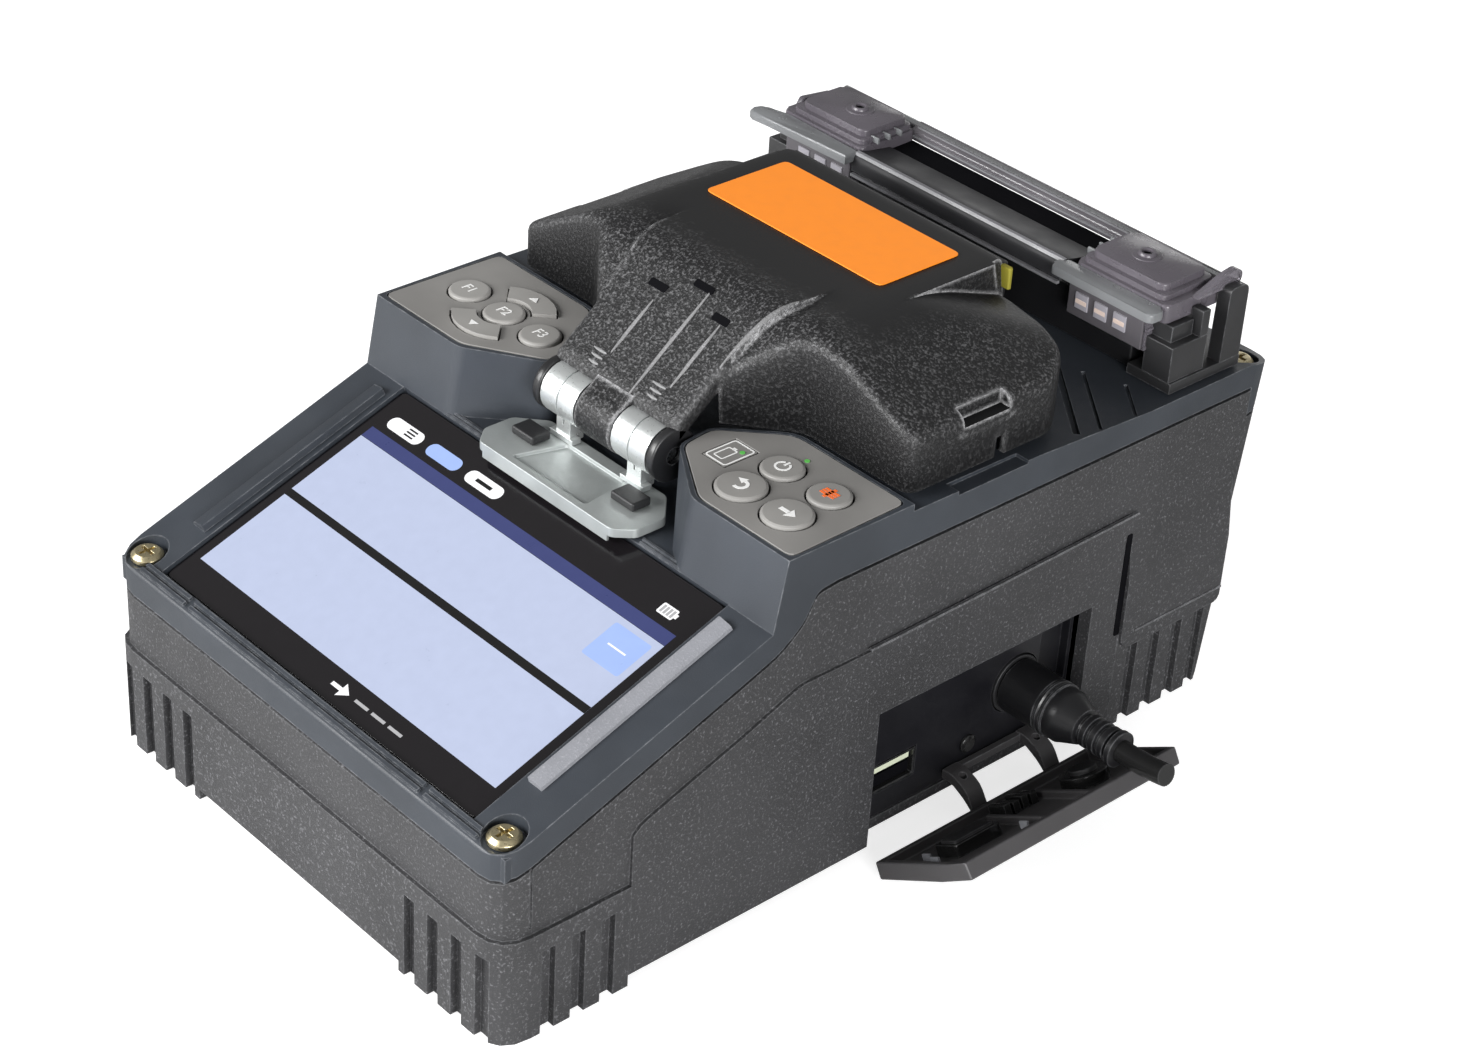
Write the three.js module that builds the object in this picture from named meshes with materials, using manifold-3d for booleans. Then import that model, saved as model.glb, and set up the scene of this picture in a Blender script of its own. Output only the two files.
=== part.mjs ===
// Fiber fusion splicer: a desk-top instrument with a tilted screen, two keypads, a wind cover
// over the splicing stage and a sleeve heater along the back.
// Millimetres. +X is the operator's right, +Y runs from front to back and +Z is up.
// Lengths are worked out from the front seam (y = 0) and the underside (z = 0). The whole
// assembly is then moved so that the origin is the middle of the underside.
import * as THREE from 'three';
import { mergeVertices } from 'three/addons/utils/BufferGeometryUtils.js';
import Module from 'manifold-3d';

const wasm = await Module();
wasm.setup();

// Driving dimensions
const HALF_WIDTH = 65;
const DEPTH = 212;
const CORNER = 7;
const REAR_DRAFT = 8; // the rear wall leans out this much from the underside to the rim
const RIM = 71.5; // height of the seam at the back
const WALL = 2.6;
const GAP = 0.4; // running gap between neighbouring pieces
const SEAM_GAP = 0.8;
const SEAM_FRONT = 35.4;
const NOSE_TOP = 42.4;
const SLOPE = THREE.MathUtils.degToRad(20);
const SLOPE_END = 67.3;
const VALLEY = 66.6; // floor between the two keypads
const KEY_DECK = 82;
const DECK_FRONT = 101.3;
const DECK = 80.4;
const DECK_REAR = 78.2;
const TAN = Math.tan(SLOPE);

// Base
const LEDGE = 22.5;
const LEDGE_PROUD = 1;
const FOOT_DROP = 2.5;
const FOOT_SPAN = { x: 34.5, front: 31.3, rear: 170 };
const GROOVE = { pitch: 7.4, width: 3.3, depth: 1.7, top: 17.8 };
const PANEL_PROUD = 0.8;
const PORT = { front: 96.5, rear: 160, top: 34, wall: 61.5 };

// Screen
const GLASS = { half: 51.6, start: 4.2, end: 69.2, sunk: 0.8, thick: 1.1 };

// Wind cover and its hinge
const HINGE = { y: 79.5, z: 78.5, radius: 5.8 };
const TONGUE = { half: 19, rise: 0.79 };
const HOOD = { right: 62.5, left: 58, front: 102, rear: 157, top: 105.2, bottom: 82.4, shell: 2.4 };

// Heater
const HEATER = { front: 181, rear: 203, bottom: 78.6, top: 90.4, half: 50 };
const LID = { half: 59, front: 177.3, top: 97.2, hingeY: 199, hingeZ: 97 };

// Port cover and power plug
const FLAP = { x: 72, z: 1.9, length: 27, thick: 4, front: 92.5, rear: 157, tilt: 31 };
const PLUG = { y: 142.5, z: 19.5, body: 6.3 };

const COLOURS = {
  caseBlack: [0x2c2c2e, 0.75, 0],
  coverGrey: [0x4a4f58, 0.6, 0],
  keyPlate: [0x8a8885, 0.6, 0],
  key: [0x8d8b88, 0.7, 0],
  screen: [0xb9c4e4, 0.12, 0],
  screw: [0xb59d62, 0.35, 0.9],
  aluminium: [0xc3c9cb, 0.35, 0.9],
  steel: [0x9a9da0, 0.3, 1],
  rubber: [0x1c1c1d, 0.85, 0],
  label: [0xff8a1e, 0.5, 0],
  seal: [0xd8b821, 0.7, 0],
  smoke: [0x4c4650, 0.1, 0],
  ceramic: [0xe9e6df, 0.5, 0],
  brass: [0xc7a24a, 0.35, 0.9],
  board: [0x1d5b38, 0.6, 0],
  lamp: [0xf4f2e6, 0.3, 0],
};

const assembly = new THREE.Group();

// ---------- Shapes and solids ----------

// A closed outline. Each point is [a, b] or [a, b, r], where r is the length that a rounded
// corner takes from each of its two edges.
function outline(points) {
  const shape = new THREE.Shape();
  const at = (i) => new THREE.Vector2(points[(i + points.length) % points.length][0],
    points[(i + points.length) % points.length][1]);
  points.forEach(([a, b, round = 0], i) => {
    const corner = new THREE.Vector2(a, b);
    const start = corner.clone().add(at(i - 1).sub(corner).setLength(round));
    if (i === 0) {
      shape.moveTo(start.x, start.y);
    } else {
      shape.lineTo(start.x, start.y);
    }
    if (round > 0) {
      const end = corner.clone().add(at(i + 1).sub(corner).setLength(round));
      shape.quadraticCurveTo(a, b, end.x, end.y);
    }
  });
  shape.closePath();
  return shape;
}

function extruded(points, length, arcSteps) {
  return new THREE.ExtrudeGeometry(outline(points), {
    depth: length,
    bevelEnabled: false,
    curveSegments: arcSteps,
    steps: 1,
  });
}

function solid(geometry) {
  geometry.deleteAttribute('normal');
  geometry.deleteAttribute('uv');
  const merged = mergeVertices(geometry, 1e-4);
  return new wasm.Manifold(new wasm.Mesh({
    numProp: 3,
    vertProperties: new Float32Array(merged.attributes.position.array),
    triVerts: new Uint32Array(merged.index.array),
  }));
}

// Outline in X and Y, between two heights
function prismZ(points, low, high, arcSteps = 3) {
  return solid(extruded(points, high - low, arcSteps).translate(0, 0, low));
}

// Outline in Y and Z, between two places along X
const X_PRISM = new THREE.Matrix4().makeBasis(
  new THREE.Vector3(0, 1, 0),
  new THREE.Vector3(0, 0, 1),
  new THREE.Vector3(1, 0, 0),
);

function prismX(points, low, high, arcSteps = 3) {
  return solid(extruded(points, high - low, arcSteps).applyMatrix4(X_PRISM).translate(low, 0, 0));
}

// Outline in X and Z, between two places along Y
function prismY(points, low, high, arcSteps = 3) {
  return solid(extruded(points, high - low, arcSteps).rotateX(Math.PI / 2).translate(0, high, 0));
}

function block([x0, x1], [y0, y1], [z0, z1]) {
  const box = new THREE.BoxGeometry(Math.abs(x1 - x0), y1 - y0, z1 - z0);
  return solid(box.translate((x0 + x1) / 2, (y0 + y1) / 2, (z0 + z1) / 2));
}

const TURN_TO = {
  x: (geometry) => geometry.rotateZ(-Math.PI / 2),
  y: (geometry) => geometry,
  z: (geometry) => geometry.rotateX(Math.PI / 2),
};

// A round bar along an axis. The other two coordinates of its centre are given in order.
function rod(axis, radius, low, high, [a, b], sides = 20) {
  const middle = (low + high) / 2;
  const places = { x: [middle, a, b], y: [a, middle, b], z: [a, b, middle] };
  const bar = new THREE.CylinderGeometry(radius, radius, Math.abs(high - low), sides);
  return solid(TURN_TO[axis](bar).translate(...places[axis]));
}

// A turned piece: radius and height pairs spun about Z, then moved
function turned(profile, place, sides = 20) {
  const points = profile.map(([radius, height]) => new THREE.Vector2(radius, height));
  return solid(new THREE.LatheGeometry(points, sides).rotateX(Math.PI / 2).translate(...place));
}

// The same with its height running along +X
function turnedX(profile, place, sides = 20) {
  const points = profile.map(([radius, height]) => new THREE.Vector2(radius, height));
  return solid(new THREE.LatheGeometry(points, sides).rotateZ(-Math.PI / 2).translate(...place));
}

function join(first, ...others) {
  return others.reduce((whole, piece) => whole.add(piece), first);
}

function cut(first, ...others) {
  return others.reduce((whole, piece) => whole.subtract(piece), first);
}

function both(first, ...others) {
  return others.reduce((whole, piece) => whole.intersect(piece), first);
}

// x of every point multiplied by side, so that one outline serves left (-1) and right (1)
function sided(points, side) {
  return points.map(([x, ...rest]) => [x * side, ...rest]);
}

function addPart(name, body, colour) {
  const shape = body.getMesh();
  const geometry = new THREE.BufferGeometry();
  geometry.setAttribute('position', new THREE.BufferAttribute(shape.vertProperties, 3));
  geometry.setIndex(new THREE.BufferAttribute(shape.triVerts, 1));
  geometry.computeVertexNormals();
  const [color, roughness, metalness] = COLOURS[colour];
  const mesh = new THREE.Mesh(geometry, new THREE.MeshStandardMaterial({ color, roughness, metalness }));
  mesh.name = name;
  assembly.add(mesh);
}

// ---------- The case column and the seam ----------

// Everything behind this line follows the leaning rear wall
const REAR_ZONE = DEPTH - 14;

function lean(geometry) {
  const place = geometry.attributes.position;
  for (let i = 0; i < place.count; i += 1) {
    if (place.getY(i) > REAR_ZONE) {
      place.setY(i, place.getY(i) - REAR_DRAFT * (1 - place.getZ(i) / RIM));
    }
  }
  return geometry;
}

function column(inset, low, high) {
  const x = HALF_WIDTH - inset;
  const round = CORNER - inset;
  const corners = [
    [-x, inset, round], [x, inset, round], [x, DEPTH - inset, round], [-x, DEPTH - inset, round],
  ];
  return solid(lean(extruded(corners, high - low, 4).translate(0, 0, low)));
}

// The seam climbs beside the screen, steps up past the keypad and runs level to the back
function seamPoints(lift) {
  return [
    [-20, SEAM_FRONT + lift],
    [0, SEAM_FRONT + lift],
    [67.5, 60.2 + lift, 3],
    [73.5, 65 + lift, 2],
    [76.6, 70.9 + lift, 1.5],
    [82, RIM + lift],
    [DEPTH - 7, RIM + lift],
    [DEPTH - 7, 64.8 + lift],
    [DEPTH + 20, 64.8 + lift],
  ];
}

function aboveSeam(lift) {
  return prismX([...seamPoints(lift), [DEPTH + 20, 140], [-20, 140]], -90, 90);
}

// The space that the walls of the base take up, below the seam
function baseWallZone() {
  const belowSeam = prismX([...seamPoints(SEAM_GAP), [DEPTH + 20, 0], [-20, 0]], -90, 90);
  return cut(belowSeam, column(WALL + GAP, -1, 100));
}

// ---------- Base ----------

function sidePanel(side) {
  const edge = [
    [31.3, 0], [170, 0], [170, 53.3, 1], [90, 51.3], [73.6, 51.3, 2], [58.3, 45.3], [33, 36.4, 2], [31.3, 34.4],
  ];
  const faces = [side * (HALF_WIDTH - 1), side * (HALF_WIDTH + PANEL_PROUD)].sort((a, b) => a - b);
  return cut(
    prismX(edge, faces[0], faces[1], 2),
    block([side * 60, side * 70], [FOOT_SPAN.rear - 1.6, FOOT_SPAN.rear + 1], [LEDGE + 2, 47]),
  );
}

function ledgeRing() {
  const ring = column(-LEDGE_PROUD, 0, LEDGE);
  const middle = [FOOT_SPAN.front, FOOT_SPAN.rear];
  return cut(ring, block([-80, 80], middle, [-1, 40])).add(block([-60, 60], middle, [0, LEDGE]));
}

function footBlocks() {
  const feet = column(-LEDGE_PROUD, -FOOT_DROP, 1);
  return cut(
    feet,
    block([-80, 80], [FOOT_SPAN.front, FOOT_SPAN.rear], [-9, 9]),
    block([-FOOT_SPAN.x, FOOT_SPAN.x], [-9, DEPTH + 9], [-9, 9]),
    block([-56, 56], [9, DEPTH - 17], [-9, 9]),
  );
}

function grooveTools() {
  const height = [-9, GROOVE.top];
  const half = GROOVE.width / 2;
  const tools = [];
  [-1, 1].forEach((side) => {
    for (let i = 0; i < 4; i += 1) {
      const x = side * (38 + i * GROOVE.pitch);
      tools.push(block([x - half, x + half], [-9, GROOVE.depth - LEDGE_PROUD], height));
      const depth = DEPTH + LEDGE_PROUD - GROOVE.depth;
      const rear = new THREE.BoxGeometry(GROOVE.width, 9, GROOVE.top + 9);
      tools.push(solid(lean(rear.translate(x, depth + 4.5, (GROOVE.top - 9) / 2))));
    }
    const face = [side * (HALF_WIDTH + LEDGE_PROUD - GROOVE.depth), side * 80];
    for (let i = 0; i < 3; i += 1) {
      const y = 10.9 + i * GROOVE.pitch;
      tools.push(block(face, [y - half, y + half], height));
    }
    for (let i = 0; i < 4; i += 1) {
      const y = 175.6 + i * GROOVE.pitch;
      tools.push(block(face, [y - half, y + half], height));
    }
  });
  return tools;
}

function baseCase() {
  const outside = join(column(0, 0, 78), ledgeRing(), footBlocks(), sidePanel(1), sidePanel(-1));
  const inside = column(WALL, WALL, 90);
  const recess = block([PORT.wall + 0.3, 80], [PORT.front, PORT.rear], [-9, PORT.top]);
  const service = block([-40.5, 40.5], [64.5, 150.5], [-1, 1.5]);
  const parting = block([HALF_WIDTH - 0.4, HALF_WIDTH + 4], [6.8, 7.3], [LEDGE + 1.5, 60]);
  return cut(outside, inside, aboveSeam(0), recess, service, parting, ...grooveTools());
}

addPart('base_case', baseCase(), 'caseBlack');

const SERVICE_PLATE = [[-40, 65, 4], [40, 65, 4], [40, 150, 4], [-40, 150, 4]];
addPart('bottom_plate', cut(
  prismZ(SERVICE_PLATE, 0, 1.2),
  rod('z', 5.2, -1, 3, [0, 82]),
), 'caseBlack');
addPart('tripod_insert', cut(
  rod('z', 4.8, 0, 1.2, [0, 82]),
  rod('z', 3.1, -1, 3, [0, 82]),
), 'brass');

// ---------- Top cover ----------

// A piece laid on the tilted screen panel: x, then s up the slope, then n out of it
function onSlope(geometry) {
  return geometry.rotateX(SLOPE).translate(0, 0, NOSE_TOP);
}

function slopeBlock([x0, x1], [s0, s1], [n0, n1]) {
  const box = new THREE.BoxGeometry(x1 - x0, s1 - s0, n1 - n0);
  return solid(onSlope(box.translate((x0 + x1) / 2, (s0 + s1) / 2, (n0 + n1) / 2)));
}

function slopePrism(points, n0, n1) {
  return solid(onSlope(extruded(points, n1 - n0, 3).translate(0, 0, n0)));
}

const SLOPE_TOP = NOSE_TOP + SLOPE_END * TAN;

function coverProfile() {
  return [
    [0, 30],
    [0, NOSE_TOP, 1],
    [SLOPE_END, SLOPE_TOP],
    [SLOPE_END + 0.1, VALLEY],
    [DECK_FRONT, VALLEY],
    [DECK_FRONT, DECK],
    [137, 80],
    [172, DECK_REAR],
    [204, DECK_REAR],
    [DEPTH + 2, 75.6],
    [DEPTH + 2, 30],
  ];
}

// Plan of the right-hand keypad plate
const KEYPAD = [
  [37.7, 69.5, 2], [21.3, 80, 2], [20.2, 88.3, 2], [32, 100.3, 3], [63.5, 100.3, 2], [64, 69.5, 2],
];

// Housing under the plate: a rim wider than the plate, and its front face leans forward
function housing(side) {
  const plan = [
    [36.8, 68.2, 2], [20.3, 79.4, 2], [19.2, 88.8, 2], [31.4, 101.5, 3], [70, 101.5], [70, 68.2],
  ];
  const shape = extruded(sided(plan, side), KEY_DECK - 60, 3).translate(0, 0, 60);
  const place = shape.attributes.position;
  for (let i = 0; i < place.count; i += 1) {
    if (place.getY(i) < 74 && place.getZ(i) < 61) {
      place.setY(i, place.getY(i) - 4);
    }
  }
  return solid(shape);
}

function bezelBars() {
  const bars = [];
  [[-56, -40.1], [-38.3, 38.3], [40.1, 56]].forEach((span) => {
    bars.push(slopeBlock(span, [0.9, 1.8], [-0.5, 0.7]));
    bars.push(slopeBlock(span, [2.5, 3.4], [-0.5, 0.7]));
  });
  [-1, 1].forEach((side) => {
    const span = [54 * side, 57 * side].sort((a, b) => a - b);
    bars.push(slopeBlock(span, [16.4, 65.5], [-0.5, 0.9]));
    const top = [25.2 * side, 51.4 * side].sort((a, b) => a - b);
    bars.push(slopeBlock(top, [69.9, 70.3], [-0.5, 0.4]));
    bars.push(slopeBlock(top, [70.7, 71.1], [-0.5, 0.4]));
  });
  return bars;
}

const SCREW_FRONT = { x: 59.5, y: 4.9, floor: 42.5 };
const SCREW_REAR = { x: 59.6, y: 206, floor: 75 };

function screwPockets() {
  return [SCREW_FRONT, SCREW_REAR].flatMap(({ x, y, floor }) => [-x, x].flatMap((place) => [
    rod('z', 4.5, floor, floor + 15, [place, y]),
    rod('z', 1.7, floor - 9, floor + 1, [place, y], 12),
  ]));
}

function inset(points, amount, centre) {
  return points.map(([x, y, round]) => {
    const away = new THREE.Vector2(x - centre[0], y - centre[1]);
    const reach = away.length();
    away.setLength(reach - amount);
    return [centre[0] + away.x, centre[1] + away.y, round];
  });
}

const KEYPAD_CENTRE = [42, 86];

function keypadPockets(side) {
  const seat = sided(inset(KEYPAD, -GAP, KEYPAD_CENTRE), side);
  const well = sided(inset(KEYPAD, 1.5, KEYPAD_CENTRE), side);
  const underneath = sided(inset(KEYPAD, 2.5, KEYPAD_CENTRE), side);
  return [
    prismZ(seat, KEY_DECK - 1.4, 90),
    prismZ(well, KEY_DECK - 3.8, 90),
    prismZ(underneath, 50, KEY_DECK - 6),
  ];
}

// Slanting grooves across the deck between the wind cover and the heater: [x, y] at each end, and a width
const DECK_GROOVES = [
  { from: [37.5, 170.3], to: [62.6, 149.8], width: 1.5 },
  { from: [44.6, 171.9], to: [64.2, 155.9], width: 0.8 },
  { from: [53.9, 175.2], to: [64.2, 166.8], width: 0.8 },
];

function deckGrooves(side) {
  return DECK_GROOVES.map(({ from, to, width }) => prismZ(sided([
    from, [from[0] + width * 0.63, from[1] + width * 0.78], [to[0] + width * 0.63, to[1] + width * 0.78], to,
  ], side), DECK_REAR - 0.7, 90));
}

const WELL = { half: 48, front: 107, rear: 151, floor: 60 };

function topCover() {
  const shell = both(join(prismX(coverProfile(), -80, 80), housing(1), housing(-1)), column(0, 25, 95));
  const hollow = prismX([
    [WALL, 20], [WALL, NOSE_TOP - 4], [SLOPE_END, SLOPE_TOP - 4.2], [DECK_FRONT + 2.6, VALLEY - 3],
    [DECK_FRONT + 2.6, DECK_REAR - 2.8], [204, DECK_REAR - 2.8], [DEPTH - 5, 72.6], [DEPTH - 5, 20],
  ], -HALF_WIDTH + WALL, HALF_WIDTH - WALL);
  const bossBlocks = [-1, 1].flatMap((side) => {
    const x = [side * 53, side * 64].sort((a, b) => a - b);
    return [block(x, [1.5, 12], [34, 42.3]), block(x, [198, 208], [68, 76])];
  });
  const tub = block([-WELL.half - 2, WELL.half + 2], [WELL.front - 2, WELL.rear + 2], [WELL.floor - 2, 79]);
  const tubHollow = block([-WELL.half, WELL.half], [WELL.front, WELL.rear], [WELL.floor, 95]);
  const pocket = slopeBlock(
    [-GLASS.half - GAP, GLASS.half + GAP],
    [GLASS.start - GAP, GLASS.end + GAP],
    [-GLASS.sunk - GLASS.thick - 0.3, 12],
  );
  const window = slopeBlock([-49.6, 49.6], [6.4, 66.5], [-12, 4]);
  const mouths = [-1, 1].map((side) => block([side * 61.5, side * 70], [114, 134], [79.3, 90]));
  const solidCover = cut(join(cut(shell, hollow), tub, ...bossBlocks), baseWallZone());
  return cut(
    join(solidCover, ...bezelBars()),
    tubHollow, pocket, window, ...screwPockets(), ...keypadPockets(1), ...keypadPockets(-1), ...mouths,
    ...deckGrooves(1), ...deckGrooves(-1),
  );
}

addPart('top_cover', topCover(), 'coverGrey');

function coverScrew(place) {
  return cut(
    turned([[0, -6], [1.4, -6], [1.4, 0], [3.5, 0], [3.5, 1], [2.6, 1.9], [0, 2]], place, 20),
    block([place[0] - 0.4, place[0] + 0.4], [place[1] - 1.9, place[1] + 1.9], [place[2] + 0.9, place[2] + 3]),
    block([place[0] - 1.9, place[0] + 1.9], [place[1] - 0.4, place[1] + 0.4], [place[2] + 0.9, place[2] + 3]),
  );
}

const SCREWS = {
  cover_screw_front_left: [-SCREW_FRONT.x, SCREW_FRONT.y, SCREW_FRONT.floor + 0.2],
  cover_screw_front_right: [SCREW_FRONT.x, SCREW_FRONT.y, SCREW_FRONT.floor + 0.2],
  cover_screw_rear_left: [-SCREW_REAR.x, SCREW_REAR.y, SCREW_REAR.floor + 0.2],
  cover_screw_rear_right: [SCREW_REAR.x, SCREW_REAR.y, SCREW_REAR.floor + 0.2],
};
Object.entries(SCREWS).forEach(([name, place]) => addPart(name, coverScrew(place), 'screw'));

// ---------- Screen ----------

addPart('screen_glass', slopePrism([
  [-GLASS.half, GLASS.start, 1.5], [GLASS.half, GLASS.start, 1.5],
  [GLASS.half, GLASS.end, 1.5], [-GLASS.half, GLASS.end, 1.5],
], -GLASS.sunk - GLASS.thick, -GLASS.sunk), 'screen');
addPart('display_module', slopeBlock([-48.8, 48.8], [7.2, 65.7], [-7.5, -2.4]), 'aluminium');

// ---------- Keypads ----------

const KEY_TOP = KEY_DECK + 0.9;
const KEYS = {
  key_f1: { x: -54.2, y: 84.7, radius: 4.6 },
  key_f2: { x: -42, y: 84.4, radius: 4.6 },
  key_f3: { x: -29.9, y: 84.5, radius: 4.6 },
  key_power: { x: 40, y: 89.4, radius: 4.6 },
  key_heat: { x: 53, y: 89.9, radius: 4.6 },
  key_back: { x: 40, y: 78.4, radius: 5.4 },
  key_start: { x: 53, y: 78.7, radius: 5.4 },
};
const ARROW_KEYS = { key_up: 1, key_down: -1 };

// A round cap with an ear at each side that keeps it under the plate
function roundKey({ x, y, radius }) {
  const cap = turned([
    [0, -3.1], [radius, -3.1], [radius, -0.4], [radius - 0.5, -0.1], [0, 0],
  ], [x, y, KEY_TOP], 24);
  const reach = radius + 0.9;
  return join(cap, block([x - reach, x + reach], [y - 1.5, y + 1.5], [KEY_TOP - 3.1, KEY_TOP - 2.4]));
}

// A crescent above (1) or below (-1) the middle function key
function crescent(way, grow) {
  const { x, y } = KEYS.key_f2;
  const [inner, outer] = [6 - grow, 11.2 + grow];
  const spread = 0.78 + grow * 0.09;
  const points = [];
  const steps = 7;
  for (let i = 0; i <= steps; i += 1) {
    const turn = spread - (2 * spread * i) / steps;
    points.push([x + outer * Math.sin(turn), y + way * outer * Math.cos(turn)]);
  }
  for (let i = steps; i >= 0; i -= 1) {
    const turn = spread - (2 * spread * i) / steps;
    points.push([x + inner * Math.sin(turn), y + way * inner * Math.cos(turn)]);
  }
  return points;
}

function arrowKey(way) {
  return join(
    prismZ(crescent(way, 0), KEY_TOP - 3, KEY_TOP - 0.1),
    prismZ(crescent(way, 0.7), KEY_TOP - 3.1, KEY_TOP - 2.4),
  );
}

const GAUGE = { x: [25.6, 32.6], y: [80.6, 90] };

function keyPlate(side) {
  const plate = prismZ(sided(KEYPAD, side), KEY_DECK - 1.2, KEY_DECK + 0.1);
  const holes = Object.values(KEYS)
    .filter(({ x }) => x * side > 0)
    .map(({ x, y, radius }) => rod('z', radius + GAP, 70, 90, [x, y], 24));
  if (side < 0) {
    Object.values(ARROW_KEYS).forEach((way) => holes.push(prismZ(crescent(way, GAP), 70, 90)));
  } else {
    holes.push(block(GAUGE.x, GAUGE.y, [70, 90]));
  }
  return cut(plate, ...holes);
}

addPart('left_key_plate', keyPlate(-1), 'keyPlate');
addPart('right_key_plate', keyPlate(1), 'keyPlate');
Object.entries(KEYS).forEach(([name, key]) => addPart(name, roundKey(key), 'key'));
Object.entries(ARROW_KEYS).forEach(([name, way]) => addPart(name, arrowKey(way), 'key'));
addPart('battery_gauge', block(
  [GAUGE.x[0] + 0.3, GAUGE.x[1] - 0.3],
  [GAUGE.y[0] + 0.3, GAUGE.y[1] - 0.3],
  [KEY_DECK - 1, KEY_DECK + 0.1],
), 'keyPlate');

// ---------- Cover hinge ----------

const PLATE = { top: 69.2, bottom: 67.1 };
const PIN = { radius: 1.8, bore: 1.9 };
const RINGS = [6, 16.5]; // each pair of rings runs between these distances from the middle

function hingePlate() {
  const plan = [
    [-21, 61.5, 1], [21, 61.5, 1], [24.5, 65.5, 1], [24.5, 73, 1], [18.5, 78.6, 1],
    [-18.5, 78.6, 1], [-24.5, 73, 1], [-24.5, 65.5, 1],
  ];
  const scoop = [[-12.5, 63.4, 1], [11, 63.4, 1], [9, 75.5, 1], [-9, 75.5, 1]];
  const lip = block([-20, 20], [61.5, 62.2], [PLATE.bottom - 1.4, PLATE.bottom + 0.5]);
  return cut(join(prismZ(plan, PLATE.bottom, PLATE.top), lip), prismZ(scoop, PLATE.top - 0.9, PLATE.top + 1));
}

// A pair of hinge rings on one neck that stands on the plate
function knuckle(side) {
  const [near, far] = RINGS.map((x) => x * side).sort((a, b) => a - b);
  const middle = (near + far) / 2;
  const across = [HINGE.y, HINGE.z];
  const barrel = rod('x', HINGE.radius, near, far, across, 24);
  const neck = block([middle - 2.2, middle + 2.2], [75.8, 79.5], [PLATE.top + 0.1, HINGE.z - 3]);
  const foot = block([middle - 3.6, middle + 3.6], [75.2, 77.6], [PLATE.top + 0.1, PLATE.top + 1.3]);
  const waist = cut(
    rod('x', HINGE.radius + 1, middle - 0.2, middle + 0.2, across, 24),
    rod('x', HINGE.radius - 0.5, middle - 1, middle + 1, across, 24),
  );
  return cut(join(barrel, neck, foot), rod('x', PIN.bore, -30, 30, across, 24), waist);
}

addPart('hinge_plate', hingePlate(), 'aluminium');
addPart('hinge_knuckle_left', knuckle(-1), 'aluminium');
addPart('hinge_knuckle_right', knuckle(1), 'aluminium');
addPart('hinge_pin', rod('x', PIN.radius, -17.9, 17.9, [HINGE.y, HINGE.z], 24), 'steel');
[['left', -1], ['right', 1]].forEach(([name, side]) => {
  const x = [15.9 * side - 3.5, 15.9 * side + 3.5];
  addPart(`hinge_pad_${name}`, block(x, [68.6, 73.6], [PLATE.top + 0.1, PLATE.top + 2.1]), 'rubber');
});

// ---------- Wind cover ----------

// Cross-section of the hood from its flat top to the side skirt, as [distance from the middle, height]
const SHOULDER = {
  right: [[31, HOOD.top], [38, 104.3], [43, 102.9], [50, 99.8], [HOOD.right, 94.7]],
  left: [[31, HOOD.top], [36, 103.6], [41, 100.8], [51, 95.4], [HOOD.left, 91.5]],
};

function hoodSection(thin) {
  const skirt = HOOD.bottom - 9 * Math.sign(thin);
  const half = (points) => {
    const inner = points.map(([x, z], i) => [x - (i === points.length - 1 ? thin : 0), z - thin]);
    return [...inner, [points[points.length - 1][0] - thin, skirt]];
  };
  const left = half(SHOULDER.left).map(([x, z]) => [-x, z]).reverse();
  return [...half(SHOULDER.right), ...left];
}

// Height of the hood along the middle: it rises with the tongue and then runs level
function hoodProfile(thin) {
  const base = HOOD.bottom - 9 * Math.sign(thin);
  return [
    [84 + thin, base], [84 + thin, 89.3 - thin], [97 + thin / 3, 99.7 - thin], [103 + thin / 3, 103.6 - thin],
    [109, HOOD.top - thin], [150, HOOD.top - thin], [HOOD.rear - thin, 104.6 - thin], [HOOD.rear - thin, base],
  ];
}

function wingProfile(thin) {
  const base = HOOD.bottom - 9 * Math.sign(thin);
  return [
    [84, base], [84, 110 - thin], [120, 110 - thin], [HOOD.rear - thin, 96.6 - thin],
    [HOOD.rear - thin, base],
  ];
}

// Plan of the hood: its front follows the keypad housings and its rear corners are cut back
function hoodPlan(thin) {
  const half = (reach) => [
    [19 - thin, 84], [19 - thin, 90.5 + thin], [32.4 - thin, HOOD.front + thin],
    [reach - thin, HOOD.front + thin, 2],
    [reach - thin, 143 - thin, 3], [reach - 5.5, 150 - thin, 2], [35.5, HOOD.rear - thin, 2],
  ];
  const mirror = half(HOOD.left).map(([x, y, round]) => [-x, y, round]).reverse();
  return [...half(HOOD.right), ...mirror];
}

function hoodSolid(thin) {
  const bulk = both(prismY(hoodSection(thin), 60, 170), prismZ(hoodPlan(thin), 60, 120));
  const tall = prismX(hoodProfile(thin), -34, 34);
  const low = both(prismX(hoodProfile(thin), -80, 80), prismX(wingProfile(thin), -80, 80));
  return both(bulk, join(tall, low));
}

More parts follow.
